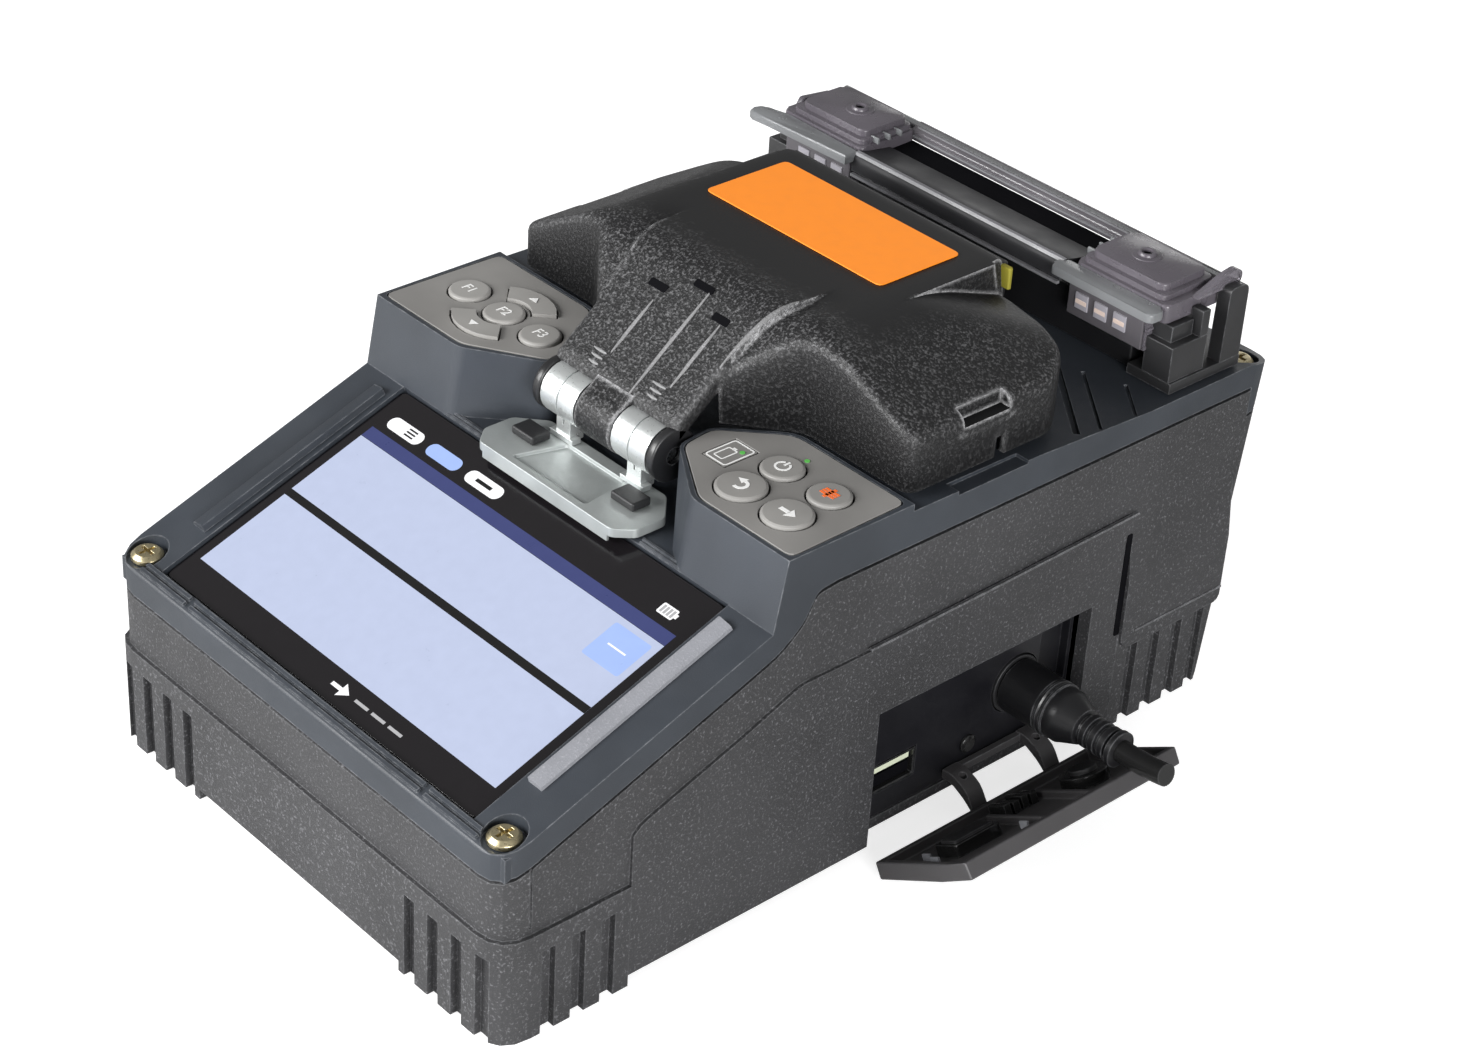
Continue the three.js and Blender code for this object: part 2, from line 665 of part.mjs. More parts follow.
// The arm from the hood down to the hinge, with a cheek at each end of the knuckles
function tongue() {
  const top = (y) => 83 + TONGUE.rise * (y - 75.9);
  const thick = 5;
  const arm = prismX([
    [75.9, top(75.9)], [100, top(100)], [103, top(100) - thick + 1], [79.2, top(75.9) - thick],
  ], -TONGUE.half, TONGUE.half);
  const across = [HINGE.y, HINGE.z];
  const cheeks = [
    [-TONGUE.half, -RINGS[1] - GAP], [RINGS[1] + GAP, TONGUE.half], [-RINGS[0] + GAP, RINGS[0] - GAP],
  ].map(([low, high]) => rod('x', HINGE.radius + 0.2, low, high, across, 24));
  const gaps = [[-RINGS[1] - GAP, -RINGS[0] + GAP], [RINGS[0] - GAP, RINGS[1] + GAP]];
  const clear = gaps.flatMap(([low, high]) => [
    rod('x', HINGE.radius + 0.7, low, high, across, 24),
    block([low, high], [70, HINGE.y + 2.4], [70, 95]),
  ]);
  return cut(join(arm, ...cheeks), ...clear, rod('x', PIN.bore, -18.2, 18.2, across, 24));
}

// Shallow grooves along the tongue, each ending in a small pocket: where across, and from where to where
const TONGUE_GROOVES = [
  { x: -11, start: 84, end: 98.5 },
  { x: -1, start: 84, end: 101 },
  { x: 8, start: 84, end: 98.5 },
];

function tongueGrooves() {
  const top = (y) => 83 + TONGUE.rise * (y - 75.9);
  const slot = (x0, x1, start, end, depth) => prismX([
    [start, top(start) - depth], [end, top(end) - depth], [end, top(end) + 3], [start, top(start) + 3],
  ], x0, x1);
  return TONGUE_GROOVES.flatMap(({ x, start, end }) => [
    slot(x - 0.4, x + 0.4, start, end, 0.6),
    slot(x - 3.2, x + 0.4, end, end + 1.8, 1.2),
  ]);
}

// A finger recess in the top edge of each side skirt
function grips() {
  return [
    block([HOOD.right - 1.6, HOOD.right + 3], [116.5, 129.5], [92.7, 110]),
    block([-HOOD.left - 3, -HOOD.left + 1.6], [116.5, 129.5], [89.6, 110]),
  ];
}

const FIBRE = { y: 127.5, z: 86 };

function windCover() {
  const shell = cut(hoodSolid(0), both(hoodSolid(HOOD.shell), block([-90, 90], [96, 170], [60, 120])));
  const slots = [-1, 1].map((side) => {
    const x = [side * 52, side * 70].sort((a, b) => a - b);
    return prismX([[FIBRE.y - 1.6, 80], [FIBRE.y + 1.6, 80], [FIBRE.y, 88.5]], x[0], x[1]);
  });
  return cut(
    join(cut(shell, block([-16, 16], [80, 97], [60, 92])), tongue()),
    ...slots,
    ...grips(),
    ...tongueGrooves(),
    block([-TONGUE.half - 8, TONGUE.half + 8], [82, 99], [60, 82.2]),
  );
}

addPart('wind_cover', windCover(), 'caseBlack');
addPart('cover_label', prismZ([
  [-26.7, 126.5, 1.5], [26.7, 126.5, 1.5], [26.7, 150, 1.5], [-26.7, 150, 1.5],
], HOOD.top + 0.05, HOOD.top + 0.35), 'label');
addPart('cover_seal', block([-32.5, 32.5], [HOOD.rear + 0.1, HOOD.rear + 1.6], [94, 103.6]), 'seal');
const CEILING = HOOD.top - HOOD.shell - 0.1;
addPart('cover_lamp', rod('z', 4, CEILING - 1.5, CEILING, [0, FIBRE.y], 20), 'lamp');

// ---------- Splicing stage under the wind cover ----------

const FLOOR = WELL.floor + 0.2;

addPart('splice_block', cut(
  join(
    block([-9, 9], [110, 145], [FLOOR, 82]),
    block([-6, 6], [121, 134], [81, FIBRE.z - 0.2]),
  ),
  block([-2, 2], [105, 150], [80.5, 90]),
  prismX([[FIBRE.y - 1.2, 90], [FIBRE.y, FIBRE.z - 1.4], [FIBRE.y + 1.2, 90]], -20, 20),
), 'ceramic');

function electrode(way) {
  const profile = [[0, 0], [0.6, 1.6], [0.6, 7], [1.5, 7], [1.5, 15], [0, 15]];
  const points = profile.map(([radius, length]) => new THREE.Vector2(radius, length * way));
  const needle = new THREE.LatheGeometry(way > 0 ? points : points.reverse(), 12);
  return solid(needle.translate(0, FIBRE.y + way * 1.4, FIBRE.z));
}

addPart('electrode_rear', electrode(1), 'steel');
addPart('electrode_front', electrode(-1), 'steel');

const CLAMP = { near: 20, far: 46, front: 118, rear: 137, top: 85.4, hingeY: 137.6 };

[['left', -1], ['right', 1]].forEach(([name, side]) => {
  const across = [CLAMP.near * side, CLAMP.far * side].sort((a, b) => a - b);
  const lid = [(CLAMP.near + 3) * side, (CLAMP.far - 3) * side].sort((a, b) => a - b);
  addPart(`clamp_base_${name}`, cut(
    block(across, [CLAMP.front, CLAMP.rear], [FLOOR, CLAMP.top]),
    block([-60, 60], [FIBRE.y - 1, FIBRE.y + 1], [CLAMP.top - 1, CLAMP.top + 2]),
  ), 'aluminium');
  addPart(
    `clamp_lid_${name}`,
    block(lid, [CLAMP.front + 1, CLAMP.rear], [CLAMP.top + GAP, CLAMP.top + 4]),
    'steel',
  );
  const press = [12 * side, 17 * side].sort((a, b) => a - b);
  addPart(
    `fibre_press_${name}`,
    block(press, [FIBRE.y - 4, FIBRE.y + 4], [FIBRE.z + 2, CEILING]),
    'rubber',
  );
  const eye = [side * 3, side * 30].sort((a, b) => a - b);
  addPart(`camera_${name}`, block(eye, [117, 139], [38, WELL.floor - 2.4]), 'caseBlack');
});

// ---------- Sleeve heater ----------

const TROUGH = { front: 187, rear: 196, floor: 82 };

addPart('heater_base', cut(
  block([-HEATER.half, HEATER.half], [HEATER.front, HEATER.rear], [HEATER.bottom, HEATER.top]),
  block([-60, 60], [TROUGH.front, TROUGH.rear], [TROUGH.floor, 99]),
), 'caseBlack');
addPart('heater_plate', cut(
  block([-28, 28], [TROUGH.front + 0.4, TROUGH.rear - 0.4], [TROUGH.floor + 0.1, TROUGH.floor + 3.4]),
  prismX([
    [TROUGH.front + 1.6, 99], [(TROUGH.front + TROUGH.rear) / 2, TROUGH.floor + 1.2], [TROUGH.rear - 1.6, 99],
  ], -40, 40),
), 'ceramic');

function heaterEnd(side) {
  const span = (near, far) => [near * side, far * side].sort((a, b) => a - b);
  const foot = block(span(51, 63), [HEATER.front + 0.4, HEATER.rear], [HEATER.bottom, 81]);
  const front = block(span(54.6, 62.4), [HEATER.front + 0.4, 192.4], [80, 89.6]);
  const slot = block(span(52, 59.4), [184, 190.4], [85.4, 99]);
  const tower = prismX([
    [194.6, 80], [HEATER.rear, 80], [HEATER.rear, 99.5, 2.5], [195.4, 99.5, 2.5],
  ], ...span(59.6, 63));
  const hole = rod('x', 1.5, -70, 70, [LID.hingeY, LID.hingeZ], 16);
  return cut(join(foot, front, tower), slot, hole);
}

addPart('heater_end_left', heaterEnd(-1), 'caseBlack');
addPart('heater_end_right', heaterEnd(1), 'caseBlack');
addPart('heater_hinge_pin', rod('x', 1.4, -62.4, 62.4, [LID.hingeY, LID.hingeZ], 16), 'steel');

// Clear lid: a roll along its front edge, a square pad and a finger lip at each end
function heaterLid() {
  const body = prismX([
    [LID.front, 91.6], [LID.front, LID.top - 2.4, 1.5], [180.4, LID.top, 2], [LID.hingeY, LID.top + 1.4],
    [LID.hingeY, LID.top - 1.4], [181.6, LID.top - 2.6, 1], [179.4, LID.top - 4, 1], [179.4, 91.6],
  ], -LID.half, LID.half);
  const barrel = rod('x', 2.5, -LID.half, LID.half, [LID.hingeY, LID.hingeZ], 16);
  const fronts = [-1, 1].map((side) => {
    const x = [34 * side, 54 * side].sort((a, b) => a - b);
    return block(x, [LID.front, 179.2], [87, 92]);
  });
  const pads = [-1, 1].map((side) => prismZ(sided([
    [33.5, 182.6, 2], [54.5, 182.6, 2], [54.5, 196, 2], [33.5, 196, 2],
  ], side), LID.top - 1.4, LID.top + 3));
  const lips = [
    prismZ([[-64.6, 173.6, 2], [-33, 174.6, 1], [-33, 180], [-58, 180, 2], [-64.6, 178, 2]], LID.top - 2, LID.top - 0.2),
    prismZ([[30, 174.6, 1], [LID.half, 174.6, 2], [LID.half, 180], [30, 180]], LID.top - 2, LID.top - 0.2),
  ];
  const pinHoles = [-1, 1].map((side) => rod('z', 2.3, 80, 110, [side * LID_PIN.x, LID_PIN.y], 16));
  return cut(
    join(body, barrel, ...fronts, ...pads, ...lips),
    rod('x', 1.5, -90, 90, [LID.hingeY, LID.hingeZ], 16),
    ...pinHoles,
  );
}

const LID_PIN = { x: 44, y: 189.5 };
addPart('heater_lid', heaterLid(), 'smoke');
[['left', -1], ['right', 1]].forEach(([name, side]) => {
  addPart(`lid_pin_${name}`, turned([
    [0, -10], [2, -10], [2, 0.2], [3.2, 0.2], [3.2, 0.8], [2.6, 1.2], [0, 1.2],
  ], [side * LID_PIN.x, LID_PIN.y, LID.top + 3], 16), 'steel');
});

// ---------- Ports on the right-hand side ----------

const USB = { y: [99, 113], z: [9, 16] };
const SLOT = { y: [149.5, 158.6], z: [14, 32] };

addPart('port_panel', cut(
  block([PORT.wall - 3, PORT.wall], [PORT.front + 0.4, PORT.rear - 0.4], [WALL + 0.3, PORT.top - 0.4]),
  block([50, 70], [USB.y[0] - 0.3, USB.y[1] + 0.3], [USB.z[0] - 0.3, USB.z[1] + 0.3]),
  block([PORT.wall - 2.2, 70], SLOT.y, SLOT.z),
  rod('x', 7.2, 50, 70, [PLUG.y, PLUG.z], 24),
  rod('x', 1.3, 50, 70, [129, 9.6], 12),
), 'caseBlack');

addPart('port_screw', turnedX([
  [0, 54], [1, 54], [1, PORT.wall + 0.1], [2.2, PORT.wall + 0.1],
  [2.2, PORT.wall + 0.7], [1.6, PORT.wall + 1.1], [0, PORT.wall + 1.1],
], [0, 129, 9.6], 12), 'steel');

addPart('usb_port', join(
  cut(
    block([49, PORT.wall + 0.1], USB.y, USB.z),
    block([50, 70], [USB.y[0] + 0.5, USB.y[1] - 0.5], [USB.z[0] + 0.5, USB.z[1] - 0.5]),
  ),
  block([49.5, PORT.wall - 1], [USB.y[0] + 1.4, USB.y[1] - 1.4], [USB.z[1] - 3, USB.z[1] - 1.2]),
), 'steel');

addPart('dc_jack', cut(
  rod('x', 6.9, 47, PORT.wall + 0.5, [PLUG.y, PLUG.z], 24),
  rod('x', 3.2, 49, 70, [PLUG.y, PLUG.z], 16),
), 'caseBlack');

// The plug turned about its own axis, with a short end of its cable
function dcPlug() {
  const body = turnedX([
    [0, 51], [2.8, 51], [2.8, 62.2], [PLUG.body, 62.2], [PLUG.body, 76.5], [5.6, 77], [5.6, 78.4],
    [5.9, 78.6], [5.9, 80.2], [4.2, 86], [3.4, 86.4], [3.4, 95], [0, 95],
  ], [0, PLUG.y, PLUG.z], 20);
  const bend = new THREE.CatmullRomCurve3([
    new THREE.Vector3(93, PLUG.y, PLUG.z),
    new THREE.Vector3(98, PLUG.y - 0.2, PLUG.z + 0.8),
    new THREE.Vector3(105, PLUG.y - 0.6, PLUG.z + 1.6),
  ]);
  const ring = new THREE.Shape().absarc(0, 0, 2.6, 0, Math.PI * 2);
  const cable = new THREE.ExtrudeGeometry(ring, { steps: 4, curveSegments: 5, extrudePath: bend });
  return join(body, solid(cable));
}

addPart('dc_plug', dcPlug(), 'rubber');

// The open port cover. u runs along it from the hinge side and v out of its inner face.
const FLAP_TURN = THREE.MathUtils.degToRad(FLAP.tilt);
const STRAPS = [[121.5, 126], [144, 148.5]];

function onFlap(u, v) {
  return [
    FLAP.x + u * Math.cos(FLAP_TURN) - v * Math.sin(FLAP_TURN),
    FLAP.z + u * Math.sin(FLAP_TURN) + v * Math.cos(FLAP_TURN),
  ];
}

function flapBlock([u0, u1], [v0, v1], [y0, y1]) {
  return prismY([onFlap(u0, v0), onFlap(u1, v0), onFlap(u1, v1), onFlap(u0, v1)], y0, y1);
}

function portCover() {
  const plate = flapBlock([0, FLAP.length], [-FLAP.thick, 0], [FLAP.front, FLAP.rear]);
  const tray = flapBlock([1.8, FLAP.length - 1.8], [1.6 - FLAP.thick, 1], [FLAP.front + 1.8, FLAP.rear - 1.8]);
  const ribs = [[119, 120.5], [133, 134.5]].map((y) => (
    flapBlock([6, FLAP.length - 1], [1 - FLAP.thick, -0.6], y)));
  const corner = prismZ([[70, 80], [120, 80], [120, 99], [FLAP.x + 18, FLAP.front - 0.1], [70, FLAP.front - 0.1]], -9, 40);
  return cut(join(cut(plate, tray), ...ribs), corner);
}

// Two rubber straps from a strip under the case to the hinge side of the port cover
function portStraps() {
  const straps = STRAPS.map(([low, high]) => cut(
    prismY([
      [62.2, 4.2], [62.2, 6.4], [65, 6.6, 1], [69.4, 5, 1.5], onFlap(-GAP, -0.4), onFlap(-GAP, -2.6),
      [69, 2.6, 1.5], [65, 4.4, 1],
    ], low, high, 2),
    rod('z', 0.9, 0, 10, [66.2, (low + high) / 2], 10),
  ));
  const strip = block([62.2, 63.6], [STRAPS[0][0], STRAPS[1][1]], [4.4, 6.2]);
  return join(strip, ...straps);
}

addPart('port_cover', portCover(), 'rubber');
addPart('port_cover_straps', portStraps(), 'rubber');

// ---------- Inside the case ----------

addPart('main_board', block([-56, 56], [12, 97], [9, 10.6]), 'board');
addPart('battery_pack', prismZ([[-56, 108, 3], [-4, 108, 3], [-4, 196, 3], [-56, 196, 3]], 4, 30), 'caseBlack');
assembly.position.y = -DEPTH / 2;

const splicer = new THREE.Group();
splicer.add(assembly);

export default splicer;
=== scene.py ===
"""Fiber fusion splicer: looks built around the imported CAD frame."""

import math

import bmesh
import bpy
from mathutils import Matrix, Vector
from mathutils.geometry import delaunay_2d_cdt

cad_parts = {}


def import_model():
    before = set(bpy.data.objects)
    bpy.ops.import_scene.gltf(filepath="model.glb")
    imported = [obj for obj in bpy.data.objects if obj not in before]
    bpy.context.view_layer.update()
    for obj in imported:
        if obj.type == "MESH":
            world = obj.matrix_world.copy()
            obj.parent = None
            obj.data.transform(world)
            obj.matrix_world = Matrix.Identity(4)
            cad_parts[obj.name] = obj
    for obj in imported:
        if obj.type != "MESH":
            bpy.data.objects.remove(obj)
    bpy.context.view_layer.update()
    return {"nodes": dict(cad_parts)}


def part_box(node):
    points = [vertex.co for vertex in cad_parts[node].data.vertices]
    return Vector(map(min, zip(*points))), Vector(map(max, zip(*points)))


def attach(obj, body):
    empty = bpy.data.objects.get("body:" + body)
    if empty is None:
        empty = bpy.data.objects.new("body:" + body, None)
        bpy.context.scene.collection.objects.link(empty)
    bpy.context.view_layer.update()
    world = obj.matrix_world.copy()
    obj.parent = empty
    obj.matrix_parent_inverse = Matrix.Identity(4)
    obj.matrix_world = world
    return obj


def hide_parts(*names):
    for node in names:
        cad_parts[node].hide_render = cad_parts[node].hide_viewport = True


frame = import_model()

MM = 0.001
NODES = frame["nodes"]

# ---------- Where things are, from the CAD boxes (millimetres) ----------


def box_mm(node):
    low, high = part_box(node)
    return low / MM, high / MM


def middle_mm(node):
    low, high = box_mm(node)
    return (low + high) / 2


FRONT = box_mm("top_cover")[0].y
FLOOR_Z = box_mm("base_case")[0].z
HOOD_LOW, HOOD_HIGH = box_mm("wind_cover")
HINGE = (0, middle_mm("hinge_pin").y, middle_mm("hinge_pin").z)
SIDES = {-1: "left", 1: "right"}

SLOPE = math.radians(20)
NOSE_TOP = 42.4
GLASS_SUNK = 0.8


def at(x, y, z):
    """A point in metres from x, z and the distance behind the front seam, in millimetres."""
    return Vector((x, y + FRONT, z)) * MM


def on_slope(x, s, n=0.0):
    """A point on the tilted screen panel: s runs up the slope and n out of it."""
    y = s * math.cos(SLOPE) - n * math.sin(SLOPE)
    z = NOSE_TOP + s * math.sin(SLOPE) + n * math.cos(SLOPE)
    return at(x, y, z)


# ---------- Materials ----------


class Nodes:
    """Short names for building one node material. Sizes are in mm."""

    def __init__(self, name):
        self.material = bpy.data.materials.new(name)
        self.material.use_nodes = True
        self.tree = self.material.node_tree
        self.shader = self.tree.nodes["Principled BSDF"]
        self.place = self.tree.nodes.new("ShaderNodeTexCoord").outputs["Object"]

    def link(self, source, target):
        self.tree.links.new(source, target)

    def noise(self, size_mm, detail=2.0, rough=0.5):
        node = self.tree.nodes.new("ShaderNodeTexNoise")
        node.inputs["Scale"].default_value = 1000.0 / size_mm
        node.inputs["Detail"].default_value = detail
        node.inputs["Roughness"].default_value = rough
        self.link(self.place, node.inputs["Vector"])
        return node.outputs["Fac"]

    def ramp(self, source, low, high, low_value=0.0, high_value=1.0):
        node = self.tree.nodes.new("ShaderNodeMapRange")
        ends = {"From Min": low, "From Max": high, "To Min": low_value, "To Max": high_value}
        for key, value in ends.items():
            node.inputs[key].default_value = value
        self.link(source, node.inputs["Value"])
        return node.outputs["Result"]

    def mix(self, share, first, second):
        """Blends two colours; the mix node holds its colours at sockets 6 and 7 and gives one at 2."""
        node = self.tree.nodes.new("ShaderNodeMix")
        node.data_type = "RGBA"
        for index, value in ((6, first), (7, second)):
            if isinstance(value, tuple):
                node.inputs[index].default_value = (*value, 1.0)
            else:
                self.link(value, node.inputs[index])
        self.link(share, node.inputs[0])
        return node.outputs[2]

    def math(self, operation, first, second):
        node = self.tree.nodes.new("ShaderNodeMath")
        node.operation = operation
        for index, value in enumerate((first, second)):
            if isinstance(value, float):
                node.inputs[index].default_value = value
            else:
                self.link(value, node.inputs[index])
        return node.outputs[0]

    def times(self, first, second):
        return self.math("MULTIPLY", first, second)

    def bump(self, height, depth_mm):
        node = self.tree.nodes.new("ShaderNodeBump")
        node.inputs["Distance"].default_value = depth_mm * MM
        self.link(height, node.inputs["Height"])
        self.link(node.outputs["Normal"], self.shader.inputs["Normal"])

    def edge_mask(self, radius_mm):
        """Near 1 on edges and 0 on flats: how far a rounded normal leans from the true one."""
        bevel = self.tree.nodes.new("ShaderNodeBevel")
        bevel.samples = 4
        bevel.inputs["Radius"].default_value = radius_mm * MM
        geometry = self.tree.nodes.new("ShaderNodeNewGeometry")
        dot = self.tree.nodes.new("ShaderNodeVectorMath")
        dot.operation = "DOT_PRODUCT"
        self.link(bevel.outputs["Normal"], dot.inputs[0])
        self.link(geometry.outputs["Normal"], dot.inputs[1])
        return self.ramp(dot.outputs["Value"], 0.995, 0.85)

    def set(self, **values):
        for key, value in values.items():
            socket = self.shader.inputs[key.replace("_", " ")]
            if isinstance(value, tuple):
                socket.default_value = (*value, 1.0)
            elif isinstance(value, (int, float)):
                socket.default_value = value
            else:
                self.link(value, socket)


def scaled(colour, factor):
    return tuple(channel * factor for channel in colour)


# Light specks on the grain are painted sparkle, standing in for glints of light off the grain.
SPARKLE_PAINT_COLOUR = (0.34, 0.34, 0.36)
WORN_COLOUR = (0.42, 0.43, 0.45)


def moulded(name, colour, rough, grain_mm, bump_mm, sparkle_paint=0.0, wear=0.25, shine=0.5):
    """Moulded plastic or rubber: fine grain, drifting tone, lighter worn edges, and light specks on the
    grain painted as sparkle.
    """
    n = Nodes(name)
    grain = n.noise(grain_mm, 3.0, 0.6)
    cloud = n.noise(28.0, 3.0)
    tone = n.mix(n.ramp(cloud, 0.35, 0.65), scaled(colour, 0.86), scaled(colour, 1.14))
    # Painted sparkle: light specks on the grain that stand in for glints.
    if sparkle_paint > 0:
        tone = n.mix(n.ramp(grain, 0.56, 0.72, 0.0, sparkle_paint), tone, SPARKLE_PAINT_COLOUR)
    if wear > 0:
        scuffs = n.ramp(n.noise(2.2, 4.0), 0.4, 0.62, 0.25, 1.0)
        edge = n.times(n.edge_mask(0.45), scuffs)
        tone = n.mix(n.times(edge, wear), tone, WORN_COLOUR)
    drift = n.ramp(n.noise(9.0, 4.0), 0.3, 0.7, rough - 0.06, rough + 0.08)
    n.set(Base_Color=tone, Roughness=drift, Specular_IOR_Level=shine)
    n.bump(grain, bump_mm)
    return n.material


def metal(name, colour, rough, metallic=1.0, bump_mm=0.001):
    """Satin metal: a fine grain in its shine and slight stains."""
    n = Nodes(name)
    grain = n.noise(0.5, 3.0)
    stain = n.noise(11.0, 4.0)
    tone = n.mix(n.ramp(stain, 0.35, 0.7), scaled(colour, 0.88), scaled(colour, 1.06))
    shine = n.ramp(grain, 0.3, 0.7, rough - 0.05, rough + 0.1)
    n.set(Base_Color=tone, Metallic=metallic, Roughness=shine)
    n.bump(grain, bump_mm)
    return n.material


def printed(name, colour, glow=0.0, rough=0.35):
    """Ink or a lit display area: nearly even, with a slight mottle. Glow is the share given off as light;
    for the label, the USB tongue and the lid's windows the glow is painted light.
    """
    n = Nodes(name)
    mottle = n.noise(3.0, 4.0)
    level = n.ramp(mottle, 0.3, 0.7)
    body = scaled(colour, 1 - 0.85 * glow)
    n.set(Base_Color=n.mix(level, scaled(body, 0.97), scaled(body, 1.02)))
    n.set(Roughness=n.ramp(mottle, 0.2, 0.8, rough - 0.04, rough + 0.06))
    if glow > 0:
        lit = n.mix(level, scaled(colour, 0.98), scaled(colour, 1.01))
        n.set(Emission_Color=lit, Emission_Strength=glow)
    return n.material


# Behind these, in the frame's own y, the wind cover's flat top is smooth.
SMOOTH_FROM = HINGE[1] + 25.0
SMOOTH_TO = HINGE[1] + 34.0


def hood_material():
    """Coarse glossy grain that turns smooth on the flat top around the label, with painted sparkle on the
    grain, stronger on faces that turn upwards, and painted highlights along its edges.
    """
    n = Nodes("hood_black")
    black = (0.0085, 0.0085, 0.009)
    painted_sparkle_grey = (0.19, 0.19, 0.195)
    painted_highlight_grey = (0.50, 0.50, 0.51)
    grain = n.noise(0.66, 2.0, 0.6)
    fine = n.noise(0.36, 2.0, 0.6)
    mixed = n.math("ADD", n.times(grain, 0.7), n.times(fine, 0.3))
    split = n.tree.nodes.new("ShaderNodeSeparateXYZ")
    n.link(n.place, split.inputs[0])
    facing = n.tree.nodes.new("ShaderNodeSeparateXYZ")
    n.link(n.tree.nodes["Texture Coordinate"].outputs["Normal"], facing.inputs[0])
    ragged = n.times(n.math("SUBTRACT", n.noise(2.4, 3.0), 0.5), 0.010)
    level = n.ramp(n.math("ADD", facing.outputs["Z"], n.times(ragged, 6.0)), 0.90, 0.985)
    behind = n.ramp(n.math("ADD", split.outputs["Y"], ragged), SMOOTH_FROM * MM, SMOOTH_TO * MM)
    coarse = n.math("SUBTRACT", 1.0, n.times(level, behind))
    # Painted sparkle, made lighter where faces turn upwards towards the light.
    upward_lit = n.ramp(facing.outputs["Z"], 0.05, 0.60, 0.35, 1.0)
    sparkle_paint_mask = n.times(n.ramp(mixed, 0.50, 0.66, 0.0, 0.60), coarse)
    # Painted highlight: the edges are painted light grey.
    edge = n.times(n.edge_mask(1.6), n.ramp(grain, 0.30, 0.6, 0.30, 0.85))
    tone = n.mix(n.times(sparkle_paint_mask, upward_lit), black, painted_sparkle_grey)
    tone = n.mix(n.times(edge, coarse), tone, painted_highlight_grey)
    n.set(Base_Color=tone, Roughness=n.ramp(coarse, 0.0, 1.0, 0.52, 0.46), Specular_IOR_Level=0.35)
    height = n.times(mixed, n.ramp(coarse, 0.0, 1.0, 0.05, 1.0))
    n.bump(height, 0.30)
    return n.material


def smoke_material(name, colour, clear, rough):
    """Plastic with a grey-violet smoke tint. Clear is the share of light that passes through."""
    n = Nodes(name)
    streak = n.noise(14.0, 2.0)
    tone = n.mix(n.ramp(streak, 0.3, 0.7), scaled(colour, 0.88), scaled(colour, 1.12))
    n.set(Base_Color=tone, Roughness=n.ramp(n.noise(4.0, 4.0), 0.3, 0.8, rough, rough + 0.1), IOR=1.46)
    n.set(Transmission_Weight=clear)
    n.bump(n.noise(6.0, 2.0), 0.01)
    return n.material


CASE = moulded("case_black", (0.033, 0.033, 0.035), 0.54, 0.62, 0.16, sparkle_paint=0.34, wear=0.22)
# A lighter copy of the case black: a painted highlight for the side beads and ledges.
CASE_HIGHLIGHT = moulded("case_painted_highlight", (0.055, 0.055, 0.058), 0.46, 0.5, 0.14, sparkle_paint=0.6, wear=0.5)
GREY = moulded("cover_grey", (0.029, 0.034, 0.042), 0.46, 0.30, 0.030, wear=0.32)
PLATE = moulded("key_plate_grey", (0.205, 0.199, 0.190), 0.50, 0.30, 0.012, wear=0.10)
KEYCAP = moulded("keycap_grey", (0.262, 0.255, 0.243), 0.46, 0.35, 0.015, wear=0.15)
HOOD = hood_material()
# A lighter copy of the hood black: a painted highlight for the tongue's ribs, steps and crease ridge.
HOOD_HIGHLIGHT = moulded("hood_painted_highlight", (0.17, 0.17, 0.172), 0.42, 0.40, 0.20, sparkle_paint=0.75, wear=0.0)
CHEEK = moulded("cheek_black", (0.012, 0.012, 0.013), 0.32, 0.5, 0.02, wear=0.35)
PLUG_BLACK = moulded("plug_black", (0.007, 0.007, 0.008), 0.34, 0.6, 0.02, wear=0.30)
RUBBER = moulded("rubber_black", (0.012, 0.012, 0.013), 0.46, 0.6, 0.03, wear=0.12)
FLAP = moulded("flap_black", (0.050, 0.048, 0.050), 0.40, 0.5, 0.03, wear=0.30)
PORT = moulded("port_black", (0.006, 0.006, 0.008), 0.42, 0.5, 0.02, wear=0.10)
END_BLACK = moulded("heater_end_black", (0.018, 0.018, 0.019), 0.40, 0.5, 0.02, wear=0.30)
HEATER_BLACK = moulded("heater_black", (0.009, 0.009, 0.010), 0.34, 0.5, 0.02, wear=0.25)
ARM = moulded("heater_arm", (0.022, 0.022, 0.024), 0.42, 0.5, 0.015, wear=0.20, shine=0.22)
# Light grey painted highlight, for the right side bar and the port cover's small tabs.
BAR_HIGHLIGHT = moulded("bar_painted_highlight", (0.215, 0.22, 0.24), 0.40, 0.5, 0.10, sparkle_paint=0.5, wear=0.2)
SILVER = metal("satin_silver", (0.385, 0.41, 0.405), 0.40, metallic=0.5)
RING = metal("turned_silver", (0.70, 0.725, 0.72), 0.32, metallic=0.8, bump_mm=0.0006)
STEEL = metal("plain_steel", (0.52, 0.53, 0.54), 0.28)
ZINC = metal("zinc_yellow", (0.62, 0.54, 0.34), 0.30)
BRASS = metal("brass", (0.72, 0.52, 0.22), 0.32)
# The label's glow is painted light, standing in for light falling on it from above.
ORANGE = printed("label_orange", (0.94, 0.265, 0.012), 0.32, 0.60)
GLOSS_BLACK = moulded("gloss_black", (0.010, 0.010, 0.010), 0.18, 0.6, 0.01, wear=0.15)
GLASS = printed("glass_black", (0.007, 0.006, 0.007), 0.0, 0.14)
SMOKE = smoke_material("smoked_clear", (0.27, 0.25, 0.285), 0.62, 0.10)
SMOKE_PAD = smoke_material("smoked_pad", (0.135, 0.122, 0.142), 0.30, 0.24)
SMOKE_LIP = smoke_material("smoked_lip", (0.30, 0.31, 0.32), 0.45, 0.20)
SMOKE_RAIL = smoke_material("smoked_rail", (0.16, 0.15, 0.165), 0.45, 0.14)
